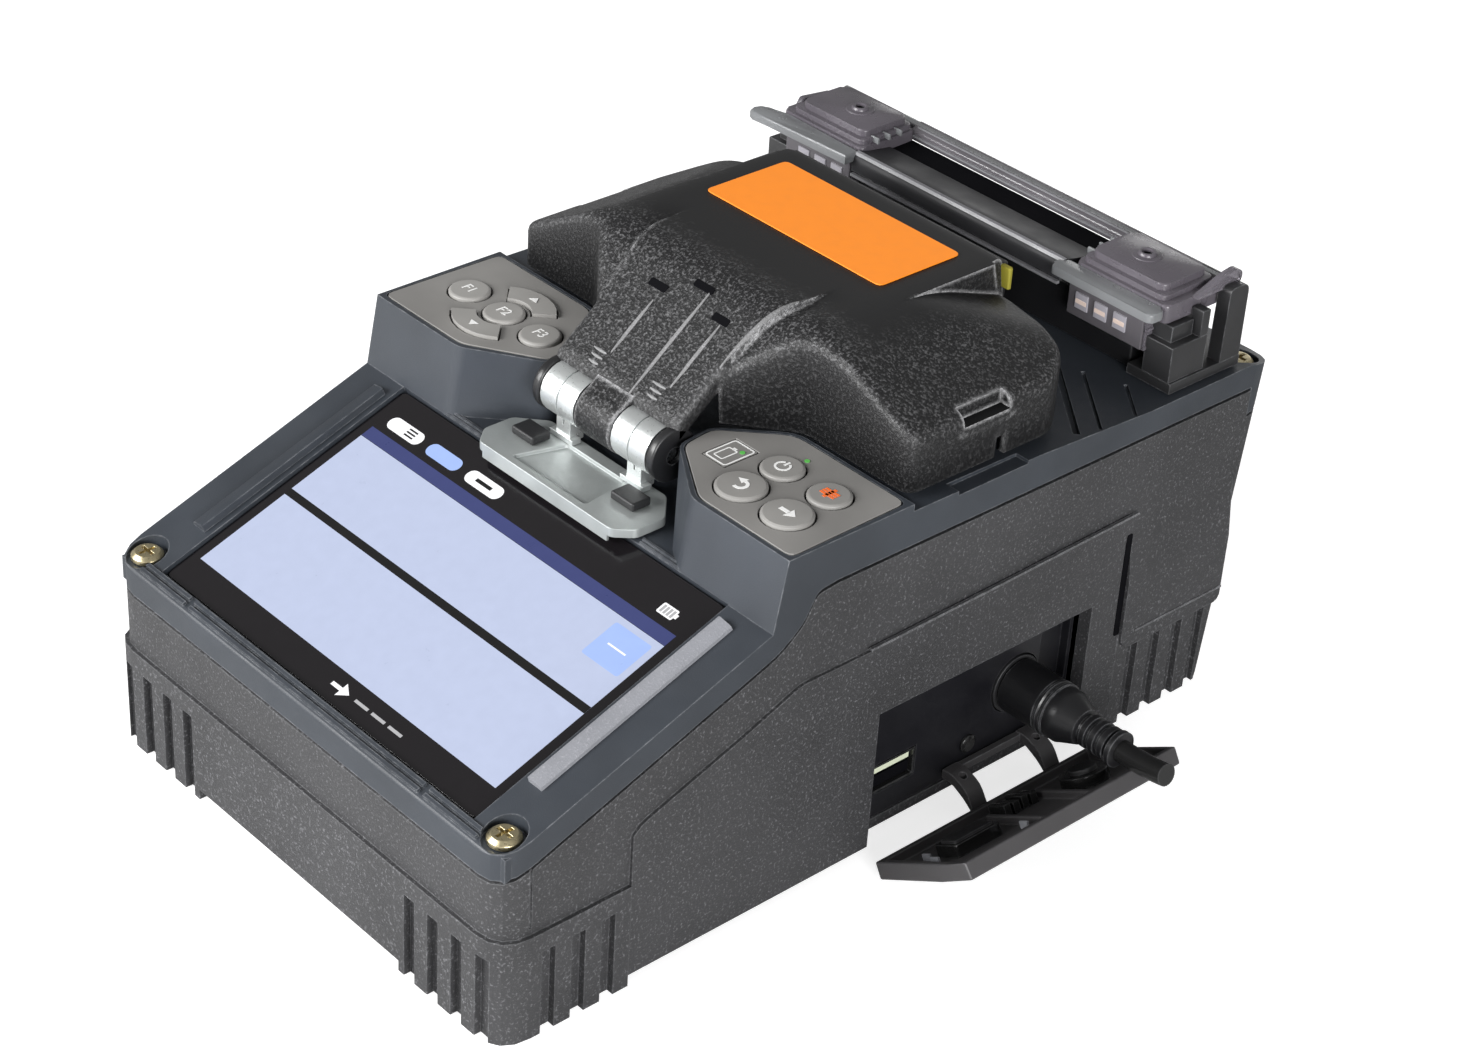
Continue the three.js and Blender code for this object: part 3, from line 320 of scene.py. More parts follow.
# The lid's window panes are painted with glare and a warm glow; they are no lamps.
GLARE = printed("window_glare", (0.30, 0.29, 0.32), 0.15, 0.2)
GLARE_WARM = printed("window_glow", (0.62, 0.50, 0.44), 0.3, 0.2)
# Light grey bars painted along the lid's crest, lower lip and edges as painted highlights.
CREST_HIGHLIGHT = moulded("crest_painted_highlight", (0.17, 0.17, 0.18), 0.28, 0.5, 0.01, wear=0.3)
SEAL = moulded("seal_yellow", (0.26, 0.23, 0.02), 0.7, 0.8, 0.08, wear=0.0)
CERAMIC = moulded("ceramic_white", (0.72, 0.70, 0.66), 0.45, 0.5, 0.02, wear=0.0)
BOARD = moulded("board_green", (0.02, 0.13, 0.06), 0.4, 0.6, 0.02, wear=0.0)
WHITE_INK = printed("ink_white", (0.80, 0.80, 0.79))
ORANGE_INK = printed("ink_orange", (0.85, 0.16, 0.03))
GREEN_LED = printed("led_green", (0.10, 0.42, 0.08), 0.6)
# The USB tongue's glow is painted light; the tongue is no lamp.
USB_WHITE = printed("usb_tongue", (0.62, 0.66, 0.50), 0.2)
# Dark sheets of painted shade, laid in holes, slots, pockets and grooves.
SHADOW_PAINT = moulded("shadow_black", (0.003, 0.003, 0.004), 0.7, 0.6, 0.02, wear=0.0, shine=0.05)
SCREEN_LILAC = printed("screen_lilac", (0.435, 0.485, 0.645), 0.90, 0.30)
SCREEN_NAVY = printed("screen_navy", (0.040, 0.050, 0.155), 0.8, 0.30)
SCREEN_BLACK = printed("screen_black", (0.004, 0.004, 0.004), 0.0, 0.30)
SCREEN_WHITE = printed("screen_white", (0.90, 0.90, 0.92), 0.92, 0.30)
SCREEN_BLUE = printed("screen_blue", (0.33, 0.45, 0.79), 0.92, 0.30)
SCREEN_GREY = printed("screen_grey", (0.36, 0.36, 0.37), 0.6, 0.30)

# ---------- CAD nodes ----------

# By the start of the node's name: material, bevel width in mm, and how many steps round the bevel.
LOOKS = {
    "base_case": (CASE, 0.55, 3),
    "bottom_plate": (CASE, 0.2, 2),
    "tripod_insert": (BRASS, 0.2, 2),
    "top_cover": (GREY, 0.5, 3),
    "screen_glass": (GLASS, 0.2, 2),
    "display_module": (STEEL, 0.2, 1),
    "hinge_plate": (SILVER, 0.35, 3),
    "hinge_pin": (STEEL, 0.2, 1),
    "heater_base": (HEATER_BLACK, 0.5, 3),
    "heater_plate": (CERAMIC, 0.2, 2),
    "heater_end": (HEATER_BLACK, 0.45, 3),
    "heater_hinge_pin": (STEEL, 0.15, 2),
    "heater_lid": (SMOKE, 0.6, 3),
    "lid_pin": (SMOKE_PAD, 0.25, 2),
    "port_panel": (PORT, 0.2, 2),
    "port_screw": (GLOSS_BLACK, 0.1, 2),
    "usb_port": (GLOSS_BLACK, 0.12, 2),
    "port_cover": (FLAP, 0.45, 3),
    "dc_jack": (RUBBER, 0.2, 2),
    "dc_plug": (RUBBER, 0.25, 2),
    "main_board": (BOARD, 0.2, 1),
    "battery_pack": (CASE, 0.4, 2),
    "splice_block": (CERAMIC, 0.2, 2),
    "electrode": (STEEL, 0.1, 1),
    "clamp_base": (SILVER, 0.4, 2),
    "clamp_lid": (STEEL, 0.4, 2),
    "camera_": (CASE, 0.3, 1),
    "cover_screw": (ZINC, 0.15, 2),
    "cover_label": (ORANGE, 0.1, 2),
    "cover_seal": (RUBBER, 0.4, 3),
    "cover_lamp": (SCREEN_WHITE, 0.3, 2),
    "fibre_press": (RUBBER, 0.4, 2),
    "wind_cover": (HOOD, 0.4, 2),
    "hinge_knuckle": (RING, 0.25, 3),
    "hinge_pad": (RUBBER, 0.5, 3),
    "left_key_plate": (PLATE, 0.18, 3),
    "right_key_plate": (PLATE, 0.18, 3),
    "battery_gauge": (PLATE, 0.05, 1),
    "key_": (KEYCAP, 0.35, 4),
}


def look_for(name):
    fits = [key for key in LOOKS if name.startswith(key)]
    return LOOKS[max(fits, key=len)]


def dress(obj, material, width_mm, steps):
    """Weld, merge flat facets, round the edges and give the node its material."""
    obj.data.materials.clear()
    obj.data.materials.append(material)
    for polygon in obj.data.polygons:
        polygon.material_index = 0
        polygon.use_smooth = True
    weld = obj.modifiers.new("weld", "WELD")
    weld.merge_threshold = 0.00001
    flat = obj.modifiers.new("flat", "DECIMATE")
    flat.decimate_type = "DISSOLVE"
    flat.angle_limit = math.radians(0.6)
    bevel = obj.modifiers.new("bevel", "BEVEL")
    bevel.width = width_mm * MM
    bevel.segments = steps
    bevel.limit_method = "ANGLE"
    bevel.angle_limit = math.radians(28)
    bevel.harden_normals = True
    bevel.use_clamp_overlap = True
    obj.modifiers.new("normals", "WEIGHTED_NORMAL").keep_sharp = True


for node_name, node_object in NODES.items():
    dress(node_object, *look_for(node_name))

# ---------- Making new pieces ----------


def show(obj):
    bpy.context.scene.collection.objects.link(obj)


def finished(name, data, material, body, sharp=35.0):
    """Turns a bmesh into a piece that rides on a body."""
    mesh = bpy.data.meshes.new(name)
    bmesh.ops.recalc_face_normals(data, faces=data.faces)
    data.to_mesh(mesh)
    data.free()
    mesh.materials.append(material)
    for polygon in mesh.polygons:
        polygon.use_smooth = True
    mesh.set_sharp_from_angle(angle=math.radians(sharp))
    obj = bpy.data.objects.new(name, mesh)
    show(obj)
    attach(obj, body)
    return obj


def join_rings(data, rings):
    """Faces between each ring of points and the next."""
    count = len(rings[0])
    for first, second in zip(rings, rings[1:]):
        for i in range(count):
            j = (i + 1) % count
            data.faces.new((first[i], first[j], second[j], second[i]))


def slab(name, outline, place, low, high, material, body, rounding=0.0):
    """A flat outline given thickness. place(a, b, n) turns outline coordinates into a point."""
    data = bmesh.new()
    bottom = [data.verts.new(place(a, b, low)) for a, b in outline]
    top = [data.verts.new(place(a, b, high)) for a, b in outline]
    data.faces.new(bottom)
    lid = data.faces.new(top)
    join_rings(data, (bottom, top))
    if rounding > 0:
        edges = list(lid.edges)
        bmesh.ops.bevel(data, geom=edges, offset=rounding * MM, segments=3, affect="EDGES", profile=0.5)
    return finished(name, data, material, body)


def rectangle(x0, x1, y0, y1, radius=0.0):
    """Outline of a rectangle with rounded corners."""
    if radius <= 0:
        return [(x0, y0), (x1, y0), (x1, y1), (x0, y1)]
    left, right = x0 + radius, x1 - radius
    front, rear = y0 + radius, y1 - radius
    corners = ((right, front, -90), (right, rear, 0), (left, rear, 90), (left, front, 180))
    return [point for cx, cy, start in corners for point in arc(cx, cy, radius, start, start + 90, 5)]


def arc(cx, cy, radius, start, end, steps=14):
    """Points from one angle to another, in degrees, both ends included."""
    turns = [math.radians(start + (end - start) * i / steps) for i in range(steps + 1)]
    return [(cx + radius * math.cos(turn), cy + radius * math.sin(turn)) for turn in turns]


def circle(cx, cy, radius):
    return arc(cx, cy, radius, 0, 360, 32)[:-1]


def stroke(points, width):
    """Outline of an open line with a width, for icons."""
    left, right = [], []
    count = len(points)
    for i, (x, y) in enumerate(points):
        before = Vector(points[max(i - 1, 0)])
        after = Vector(points[min(i + 1, count - 1)])
        along = (after - before).normalized()
        side = Vector((-along.y, along.x)) * width / 2
        left.append((x + side.x, y + side.y))
        right.append((x - side.x, y - side.y))
    return left + right[::-1]


# ---------- Wind cover ----------

HOOD_TOP = HOOD_HIGH.z
HOOD_REAR = HOOD_HIGH.y - FRONT
REACH = {1: HOOD_HIGH.x, -1: -HOOD_LOW.x}
SKIRT = 82.4
SHELL = 2.0
PLATEAU_HALF = 33.4
TONGUE_HALF = 19.0
TONGUE_FRONT = 79.2
TONGUE_THICK = 5.0
ROOT_HALF = 5.6
SHOULDER = {
    1: [(31, HOOD_TOP), (38, 104.3), (43, 102.9), (50, 99.8), (REACH[1], 94.7)],
    -1: [(31, HOOD_TOP), (36, 103.6), (41, 100.8), (51, 95.4), (REACH[-1], 91.5)],
}
GRIP = {"front": 116.5, "rear": 129.5, "deep": 2.9, 1: 92.7, -1: 89.6}
NOTCH = {"front": 126.2, "rear": 128.8, "top": 87.0}
RIBS = ((-6.3, 83.8, 94.6), (4.4, 79.6, 100.2), (11.9, 84.0, 96.6))  # x, front end, rear end
POCKETS = ((-10.4, -5.2, 96.6), (-0.6, 5.0, 100.2), (8.8, 13.4, 96.9))  # left, right, front edge
EDGE_ROUND = 1.9
CORNER_GAP = 0.08


def smooth_step(low, high, value):
    t = max(0.0, min(1.0, (value - low) / (high - low)))
    return t * t * (3 - 2 * t)


def smooth_min(a, b, k):
    h = max(k - abs(a - b), 0.0) / k
    return min(a, b) - h * h * k / 4


def section_height(x):
    """Height of the cover's cross-section, which steps down over the shoulders."""
    points = SHOULDER[1 if x >= 0 else -1]
    x = abs(x)
    if x <= points[0][0]:
        return HOOD_TOP
    for (x0, z0), (x1, z1) in zip(points, points[1:]):
        if x <= x1:
            return z0 + (z1 - z0) * (x - x0) / (x1 - x0)
    return points[-1][1]


def section_smooth(x):
    """The section's height, averaged over 2.5 mm each way so that its corners are soft."""
    return sum(section_height(x + 2.5 * k / 3) for k in range(-3, 4)) / 7


def tongue_height(y):
    """The straight slope that climbs from the hinge to the flat top."""
    return 83.0 + 0.79 * (y - 75.9)


def crease_line(y):
    """Half the tongue's width, which grows as the tongue runs into the top."""
    return TONGUE_HALF + 3.0 * smooth_step(92, 112, y)


def crease_depth(x, y):
    """A sharp step beside the tongue that fades out on the flat top."""
    crease = crease_line(y)
    beyond = abs(x) - crease
    if beyond <= 0:
        return 0.0
    fade = 1 - smooth_step(108, 119, y)
    return fade * smooth_step(0, 0.5, beyond) * 1.25 * math.exp(-(beyond / 3.6) ** 2)


def in_grip(x, y):
    side = 1 if x >= 0 else -1
    return GRIP["front"] < y < GRIP["rear"] and REACH[side] - abs(x) < GRIP["deep"]


def hood_height(x, y):
    side = 1 if x >= 0 else -1
    if in_grip(x, y):
        return GRIP[side]
    height = smooth_min(section_smooth(x), tongue_height(y), 3.5)
    if abs(x) > PLATEAU_HALF:
        height = smooth_min(height, 102.4 - 0.36 * (y - 141), 3.0)
    return min(height, HOOD_TOP) - crease_depth(x, y)


def walk(outline, step):
    """Points along a closed outline, no further apart than step."""
    points = []
    for (x0, y0), (x1, y1) in zip(outline, outline[1:] + outline[:1]):
        count = max(1, math.ceil(math.hypot(x1 - x0, y1 - y0) / step))
        for i in range(count):
            points.append((x0 + (x1 - x0) * i / count, y0 + (y1 - y0) * i / count))
    return points


def rounded(outline):
    """The outline, given as x, y and corner radius, with its corners rounded."""
    points = []
    count = len(outline)
    for i, (x, y, radius) in enumerate(outline):
        if radius <= 0:
            points.append((x, y))
            continue
        corner = Vector((x, y))
        start = corner + (Vector(outline[i - 1][:2]) - corner).normalized() * radius
        end = corner + (Vector(outline[(i + 1) % count][:2]) - corner).normalized() * radius
        for k in range(6):
            t = k / 5
            point = start * (1 - t) ** 2 + corner * 2 * t * (1 - t) + end * t ** 2
            points.append((point.x, point.y))
    return points


def edge_distance(point, outline):
    best = 1e9
    p = Vector(point)
    for a, b in zip(outline, outline[1:] + outline[:1]):
        a, b = Vector(a), Vector(b)
        d = b - a
        t = max(0.0, min(1.0, (p - a).dot(d) / d.length_squared))
        best = min(best, (p - a - d * t).length)
    return best


def inside(point, outline):
    x, y = point
    result = False
    for (x0, y0), (x1, y1) in zip(outline, outline[1:] + outline[:1]):
        if (y0 > y) != (y1 > y) and x < (x1 - x0) * (y - y0) / (y1 - y0) + x0:
            result = not result
    return result


def hood_half(side):
    """Plan of one half, from the tongue round to the rear, with the grip's and the notch's corners."""
    reach = REACH[side]
    marks = [GRIP["front"], NOTCH["front"], NOTCH["rear"], GRIP["rear"]]
    steps = [(reach, y, 0) for y in either_side(marks)]
    front = [(TONGUE_HALF, TONGUE_FRONT, 1.5), (TONGUE_HALF, 90.5, 1), (32.6, 102, 3), (reach, 102, 3.5)]
    rear = [(reach, 142.5, 3), (reach - 5.5, 150, 3), (36, HOOD_REAR, 2.5)]
    return front + steps + rear


def either_side(places):
    """Two lines close on each side of every place, where the surface steps."""
    return [place + offset for place in places for offset in (-CORNER_GAP, CORNER_GAP)]


def hood_surface():
    """The plan cut into triangles: fine along the rim and the tongue's edges, even elsewhere."""
    left = [(-x, y, radius) for x, y, radius in reversed(hood_half(-1))]
    outline = walk(rounded(hood_half(1) + left), 1.3)
    points = list(outline)
    count = len(outline)
    for depth in (0.25, 0.7, 1.25, EDGE_ROUND):
        for i in range(count):
            before, after = Vector(outline[i - 1]), Vector(outline[(i + 1) % count])
            along = (after - before).normalized()
            candidate = (outline[i][0] - along.y * depth, outline[i][1] + along.x * depth)
            if inside(candidate, outline) and edge_distance(candidate, outline) > depth * 0.9:
                points.append(candidate)
    step = 1.35
    x_lines = [step * i for i in range(-46, 47)]
    x_lines += [side * (15.6 + 0.45 * i) for side in SIDES for i in range(18)]
    x_lines += either_side([REACH[1] - GRIP["deep"], GRIP["deep"] - REACH[-1], PLATEAU_HALF, -PLATEAU_HALF])
    y_lines = [TONGUE_FRONT + step * i for i in range(59)]
    y_lines += either_side([GRIP["front"], GRIP["rear"]])
    for x in x_lines:
        for y in y_lines:
            if inside((x, y), outline) and edge_distance((x, y), outline) > 2.4:
                points.append((x, y))
    edges = [(i, (i + 1) % count) for i in range(count)]
    cells = delaunay_2d_cdt([Vector(p) for p in points], edges, [], 1, 0.001)
    return outline, cells[0], cells[2]


def skirt_bottom(x, y):
    """Where the walls end: under the tongue, over the notches, and level everywhere else."""
    if y < 90.6 and abs(x) < TONGUE_HALF + 0.3:
        return tongue_height(y) - TONGUE_THICK
    if NOTCH["front"] < y < NOTCH["rear"] and abs(x) > 50:
        return NOTCH["top"]
    return SKIRT


def build_hood():
    """The surface with a rounded rim and walls, given a thickness."""
    outline, flat_points, triangles = hood_surface()
    data = bmesh.new()
    top = []
    for x, y in flat_points:
        depth = min(edge_distance((x, y), outline), EDGE_ROUND)
        drop = EDGE_ROUND - math.sqrt(max(EDGE_ROUND ** 2 - (EDGE_ROUND - depth) ** 2, 0))
        if in_grip(x, y):
            drop = 0
        top.append(data.verts.new(at(x, y, hood_height(x, y) - drop)))
    for triangle in triangles:
        data.faces.new([top[i] for i in triangle])
    rim = [edge for edge in data.edges if edge.is_boundary]
    wall = bmesh.ops.extrude_edge_only(data, edges=rim)["geom"]
    for vert in wall:
        if isinstance(vert, bmesh.types.BMVert):
            vert.co.z = skirt_bottom(vert.co.x / MM, vert.co.y / MM - FRONT) * MM
    obj = finished("wind_hood", data, HOOD, "wind_cover", sharp=42)
    shell = obj.modifiers.new("shell", "SOLIDIFY")
    shell.thickness = SHELL * MM
    shell.offset = -1.0
    return obj


hood = build_hood()
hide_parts("wind_cover")


def on_hood(a, b, n):
    """A point on the wind cover's surface, n above it."""
    return at(a, b, hood_height(a, b) + n)


def hood_strip(name, points, width, low, high, material):
    """A narrow band that follows the surface: points are its middle line in x and y."""
    data = bmesh.new()
    rows = []
    for i, (x, y) in enumerate(points):
        before, after = points[max(i - 1, 0)], points[min(i + 1, len(points) - 1)]
        along = (Vector(after) - Vector(before)).normalized()
        half = width / 2 * min(1.0, 0.25 + 2.5 * min(i, len(points) - 1 - i) / len(points))
        ends = [(x - along.y * half * side, y + along.x * half * side) for side in SIDES]
        edge = high * 0.6
        corners = [(*ends[0], low), (*ends[1], low), (*ends[1], edge), (x, y, high), (*ends[0], edge)]
        rows.append([data.verts.new(on_hood(*corner)) for corner in corners])
    join_rings(data, rows)
    data.faces.new(rows[0])
    data.faces.new(rows[-1])
    finished(name, data, material, "wind_cover", sharp=70)


def line_points(x0, y0, x1, y1, count=14):
    return [(x0 + (x1 - x0) * i / count, y0 + (y1 - y0) * i / count) for i in range(count + 1)]


def tongue_marks():
    """Three ribs up the tongue, each under a small pocket, and short steps at their feet. The ribs and steps
    are painted light grey as a painted highlight, and each pocket is a dark sheet of painted shade.
    """
    for index, (x, y0, y1) in enumerate(RIBS):
        hood_strip(f"hood_rib_{index}", line_points(x, y0, x, y1), 0.85, -0.4, 0.42, HOOD_HIGHLIGHT)
    for index, (x0, x1, y) in enumerate(POCKETS):
        pocket = rectangle(x0, x1, y, y + 1.3, 0.3)
        slab(f"hood_pocket_{index}", pocket, on_hood, -0.3, 0.22, SHADOW_PAINT, "wind_cover")
    for column, (x, y, _) in enumerate((RIBS[0], RIBS[2])):
        for row in range(3):
            y0 = y - 0.6 - row * 1.1
            step = line_points(x - 4.6 + row * 0.5, y0, x - 0.7, y0, 4)
            hood_strip(f"hood_step_{column}_{row}", step, 0.45, -0.3, 0.30, HOOD_HIGHLIGHT)


def crease_ridge():
    """The soft ridge that runs up from the tongue's right edge and dies out beside the label, painted light
    grey as a painted highlight.
    """
    path = [(crease_line(y) - 0.35, y) for y in (91.0 + 18.0 * i / 24 for i in range(25))]
    hood_strip("hood_crease", path, 0.9, -0.6, 0.16, HOOD_HIGHLIGHT)


def tongue_root():
    """The tongue carried down to the hinge between the silver knuckles."""

    def place(a, b, n):
        return at(a, b, tongue_height(b) + n)

    outline = rectangle(-ROOT_HALF, ROOT_HALF, 75.4, 80.0)
    slab("tongue_root", outline, place, -3.2, -0.05, HOOD, "wind_cover", 0.3)


tongue_marks()
crease_ridge()
tongue_root()


def lathe(name, profile, axis, centre, material, body):
    """A turned piece. profile is (radius, place along the axis), closed onto the axis or onto itself."""
    steps = 40
    data = bmesh.new()
    rings = []
    for radius, along in profile:
        ring = []
        for i in range(steps):
            turn = math.tau * i / steps
            u, v = radius * math.cos(turn), radius * math.sin(turn)
            offset = {"x": (along, u, v), "y": (u, along, v), "z": (u, v, along)}[axis]
            ring.append(data.verts.new((Vector(centre) + Vector(offset)) * MM))
        rings.append(ring)
    join_rings(data, rings + rings[:1])
    bmesh.ops.remove_doubles(data, verts=data.verts, dist=0.002 * MM)
    return finished(name, data, material, body)


def round_bar(radius, low, high):
    """Profile of a short drum with soft edges and a bore."""
    soft, bore = 0.5, 1.9
    curve = [(r, along) for along, r in arc(low + soft, radius - soft, soft, 180, 90, 3)]
    back = [(r, high + low - along) for r, along in curve[::-1]]
    return [(bore, low)] + curve + back + [(bore, high)]


def seal_end():
    """The right end of the cover's seal, which shows as a yellow strip."""
    outline = rectangle(31.0, 35.0, HOOD_REAR - 0.6, HOOD_REAR + 0.5, 0.4)
    slab("seal_end", outline, at, 98.6, 103.4, SEAL, "wind_cover", 0.3)


def cheeks():
    """The round ends of the tongue on the hinge, outside and between the silver knuckles."""
    spans = {
        "left": (-TONGUE_HALF, -16.9, CHEEK),
        "middle": (-ROOT_HALF, ROOT_HALF, HOOD),
        "right": (16.9, TONGUE_HALF, CHEEK),
    }
    for label, (low, high, look) in spans.items():
        lathe(f"hood_cheek_{label}", round_bar(6.0, low, high), "x", HINGE, look, "wind_cover")


seal_end()
cheeks()

# ---------- Rear side plates ----------

WALL_X = 65.0
PLATE_FRONT, PLATE_REAR = 170.4, 203.4
PLATE_LOW, PLATE_HIGH = 18.6, 51.8


def side_plate(side, word):
    """A plate behind the side panel, with one rounded corner, that fades into the wall above. Its groove is
    a dark sheet of painted shade, and its bead and ledge are painted light as painted highlights.
    """

    def fading(a, b, n):
        fade = max(0.0, min(1.0, (52.0 - b) / 16.0))
        return at(side * (WALL_X - 0.06 + n * fade), a, b)

    def even(a, b, n):
        return at(side * (WALL_X + n), a, b)

    outline = rounded([
        (PLATE_FRONT, PLATE_HIGH, 0),
        (PLATE_FRONT, PLATE_LOW, 3.4),
        (PLATE_REAR, PLATE_LOW, 1.6),
        (PLATE_REAR, PLATE_HIGH, 0),
    ])
    slab(f"side_plate_{word}", walk(outline, 2.0), fading, -0.5, 1.7, CASE, "case", 0.3)
    groove = rectangle(PLATE_FRONT - 2.0, PLATE_FRONT - 0.2, 22.8, 49.0, 0.6)
    slab(f"side_groove_{word}", groove, even, 0.5, 0.90, SHADOW_PAINT, "case")
    bead = stroke([(92.0, 51.9), (130.0, 52.6), (171.0, 53.7)], 0.5)
    slab(f"side_bead_{word}", bead, even, 0.4, 1.15, CASE_HIGHLIGHT, "case")
    ledge = stroke([(174.6, 22.4), (PLATE_REAR, 22.4)], 0.5)
    slab(f"side_ledge_{word}", ledge, even, 0.9, 1.85, CASE_HIGHLIGHT, "case")


for side, word in SIDES.items():
    side_plate(side, word)

# ---------- Screen panel trim ----------


def side_bar(side, word, look):
    """The raised rest beside the screen: a wedge that leans outwards."""
    section = [(53.6, 0.0), (53.9, 1.55), (54.5, 1.75), (57.0, 1.1), (57.4, 0.75), (57.5, 0.0)]

    def place(a, b, n):
        return on_slope(side * a, n, b)

    slab(f"side_bar_{word}", section, place, 16.2, 65.7, look, "case")


# The right bar is painted light grey as a painted highlight; the left bar keeps the cover's grey.
side_bar(1, "right", BAR_HIGHLIGHT)
side_bar(-1, "left", GREY)

# ---------- Heater ----------

LID_TOP = box_mm("lid_pin_left")[1].z - 4.2
PAD_TOP = LID_TOP + 3.2
LID_FRONT = 177.0
FRONT_WALL_LOW = 86.4
LID_HINGE = (0, 199.0 + FRONT, 97.0)
SHEET_LEFT, SHEET_RIGHT = -33.4, 31.0
POST_TOP = {-1: 94.6, 1: 98.4}


def x_prism(name, section, x0, x1, material, body):
    """A bar along x with one cross-section in y and z."""

    def place(a, b, n):
        return at(n, a, b)

    return slab(name, section, place, x0, x1, material, body)


def lid_bar(name, section, x0, x1, material):
    return x_prism(name, section, x0, x1, material, "heater_lid")


def soft_section(points, radius=0.8):
    return rounded([(y, z, radius) for y, z in points])


def lid_block(name, side, outline, low, high, material, rounding=0.2):
    plan = [(side * x, y) for x, y in outline]
    slab(name, plan, at, low, high, material, "heater_lid", rounding)


LIP = {
    -1: [
        (33.0, 174.6), (33.0, 179.4), (57.0, 179.4), (62.2, 178.6), (64.2, 177.4), (64.8, 175.6),
        (64.2, 174.0), (62.6, 173.4), (58.0, 173.8),
    ],
    1: rectangle(30.0, 59.0, 174.6, 179.4, 1.6),
}


def lid_middle():
    """The dark sheet with its rounded front, the open slot behind it and the smoky rear rail. Light grey
    lines on the crest, the lower lip and the rail's edges are painted highlights, and the slot is a dark
    sheet of painted shade.
    """
    sheet = [
        (188.9, 94.4), (188.9, 95.4), (182.0, 96.4), (179.6, 97.0), (178.4, 96.9), (177.6, 96.2),
        (177.2, 94.9), (177.4, 92.6), (178.4, 92.4), (178.8, 94.2),
    ]
    main = lid_bar("lid_sheet", sheet, SHEET_LEFT, SHEET_RIGHT, ARM)
    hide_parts("heater_lid")
    crest = [(177.9, 96.5), (178.3, 97.1), (179.0, 97.25), (179.3, 97.0), (178.6, 96.6)]
    lid_bar("lid_crest", crest, SHEET_LEFT + 0.2, SHEET_RIGHT - 0.2, CREST_HIGHLIGHT)
    lower_lip = rectangle(176.8, 177.7, 91.6, 92.2)
    lid_bar("lid_lower_lip", lower_lip, SHEET_LEFT + 0.2, SHEET_RIGHT - 0.2, CREST_HIGHLIGHT)
    slot = [(188.9, 93.6), (196.2, 93.6), (196.2, 95.0), (188.9, 94.8)]
    lid_bar("lid_slot", slot, -33.2, 33.2, SHADOW_PAINT)
    rail = [(196.3, 95.0), (198.0, 94.4), (200.8, 94.9), (201.0, 97.6), (199.4, 98.6), (196.5, 97.4)]
    lid_bar("lid_rail", soft_section(rail, 0.6), -34.0, 58.6, SMOKE_RAIL)
    for index, (y, z) in enumerate(((196.0, 96.4), (197.4, 98.1))):
        lid_bar(f"lid_edge_{index}", rectangle(y, y + 0.4, z - 0.4, z), -33.0, 33.0, CREST_HIGHLIGHT)


def lid_pad(side, word):
    """A square pad in three rounded steps, with short pale ticks on its inner edge that are painted
    highlights.
    """
    levels = (93.4, LID_TOP + 0.4, LID_TOP + 1.6, PAD_TOP)
    steps = (
        ("base", rectangle(33.0, 59.0, 179.6, 197.0, 1.5), 0.6),
        ("step", rectangle(33.8, 57.0, 180.6, 196.8, 1.6), 0.4),
        ("pad", rectangle(34.8, 55.6, 182.0, 196.2, 2.0), 0.5),
    )
    for (label, outline, rounding), low, high in zip(steps, levels, levels[1:]):
        lid_block(f"lid_{label}_{word}", side, outline, low, high, SMOKE_PAD, rounding)
    for tick in range(3):
        y = 184.0 + tick * 3.6
        outline = rectangle(32.2, 34.6, y, y + 0.5)
        lid_block(f"lid_tick_{word}_{tick}", side, outline, LID_TOP + 0.5, LID_TOP + 1.9, SMOKE_LIP)


def lid_front(side, word):
    """The front wall with windows painted with glare and a warm glow, the ribs and shelves behind it and the
    finger lip above.
    """
    wall = rectangle(34.0, 55.0, LID_FRONT + 0.3, LID_FRONT + 1.0, 0.2)
    lid_block(f"lid_front_{word}", side, wall, FRONT_WALL_LOW, 95.2, SMOKE_RAIL)
    for window in range(3):
        x = 36.2 + window * 5.4
        pane = rectangle(x, x + 3.6, LID_FRONT - 0.05, LID_FRONT + 0.4, 0.15)
        glow = rectangle(x + 0.3, x + 3.3, LID_FRONT - 0.15, LID_FRONT)
        lid_block(f"lid_window_{word}_{window}", side, pane, 88.6, 92.2, GLARE)
        lid_block(f"lid_glow_{word}_{window}", side, glow, 89.8, 90.8, GLARE_WARM)
    lid_block(f"lid_lip_{word}", side, LIP[side], LID_TOP - 2.2, LID_TOP - 0.2, SMOKE_LIP, 0.6)
    for rib in range(5):
        x = 34.6 + rib * 4.9
        outline = rectangle(x, x + 0.9, LID_FRONT + 1.1, LID_FRONT + 4.0)
        lid_block(f"lid_rib_{word}_{rib}", side, outline, FRONT_WALL_LOW, 95.0, SMOKE)
    for row, (low, high) in enumerate(((86.0, 86.8), (90.4, 91.0))):
        outline = rectangle(34.0, 55.4, LID_FRONT + 1.1, LID_FRONT + 4.2)
        lid_block(f"lid_shelf_{word}_{row}", side, outline, low, high, SMOKE)
    back = rectangle(34.0, 55.0, LID_FRONT + 4.3, LID_FRONT + 5.0)
    lid_block(f"lid_back_{word}", side, back, FRONT_WALL_LOW, 93.3, GLOSS_BLACK)


def lid_ears():
    """The two unlike ends of the lid at its hinge."""
    right = [(187.0, 97.4), (200.6, 97.4), (201.4, 98.4), (201.2, 100.2), (199.6, 101.0), (195.8, 100.4)]
    left = [(184.0, 95.0), (195.5, 95.0), (195.5, 97.4), (186.0, 98.4)]
    lid_bar("lid_ear_right", soft_section(right), 58.7, 60.6, SMOKE)
    lid_bar("lid_ear_left", soft_section(left), -60.4, -59.1, SMOKE)


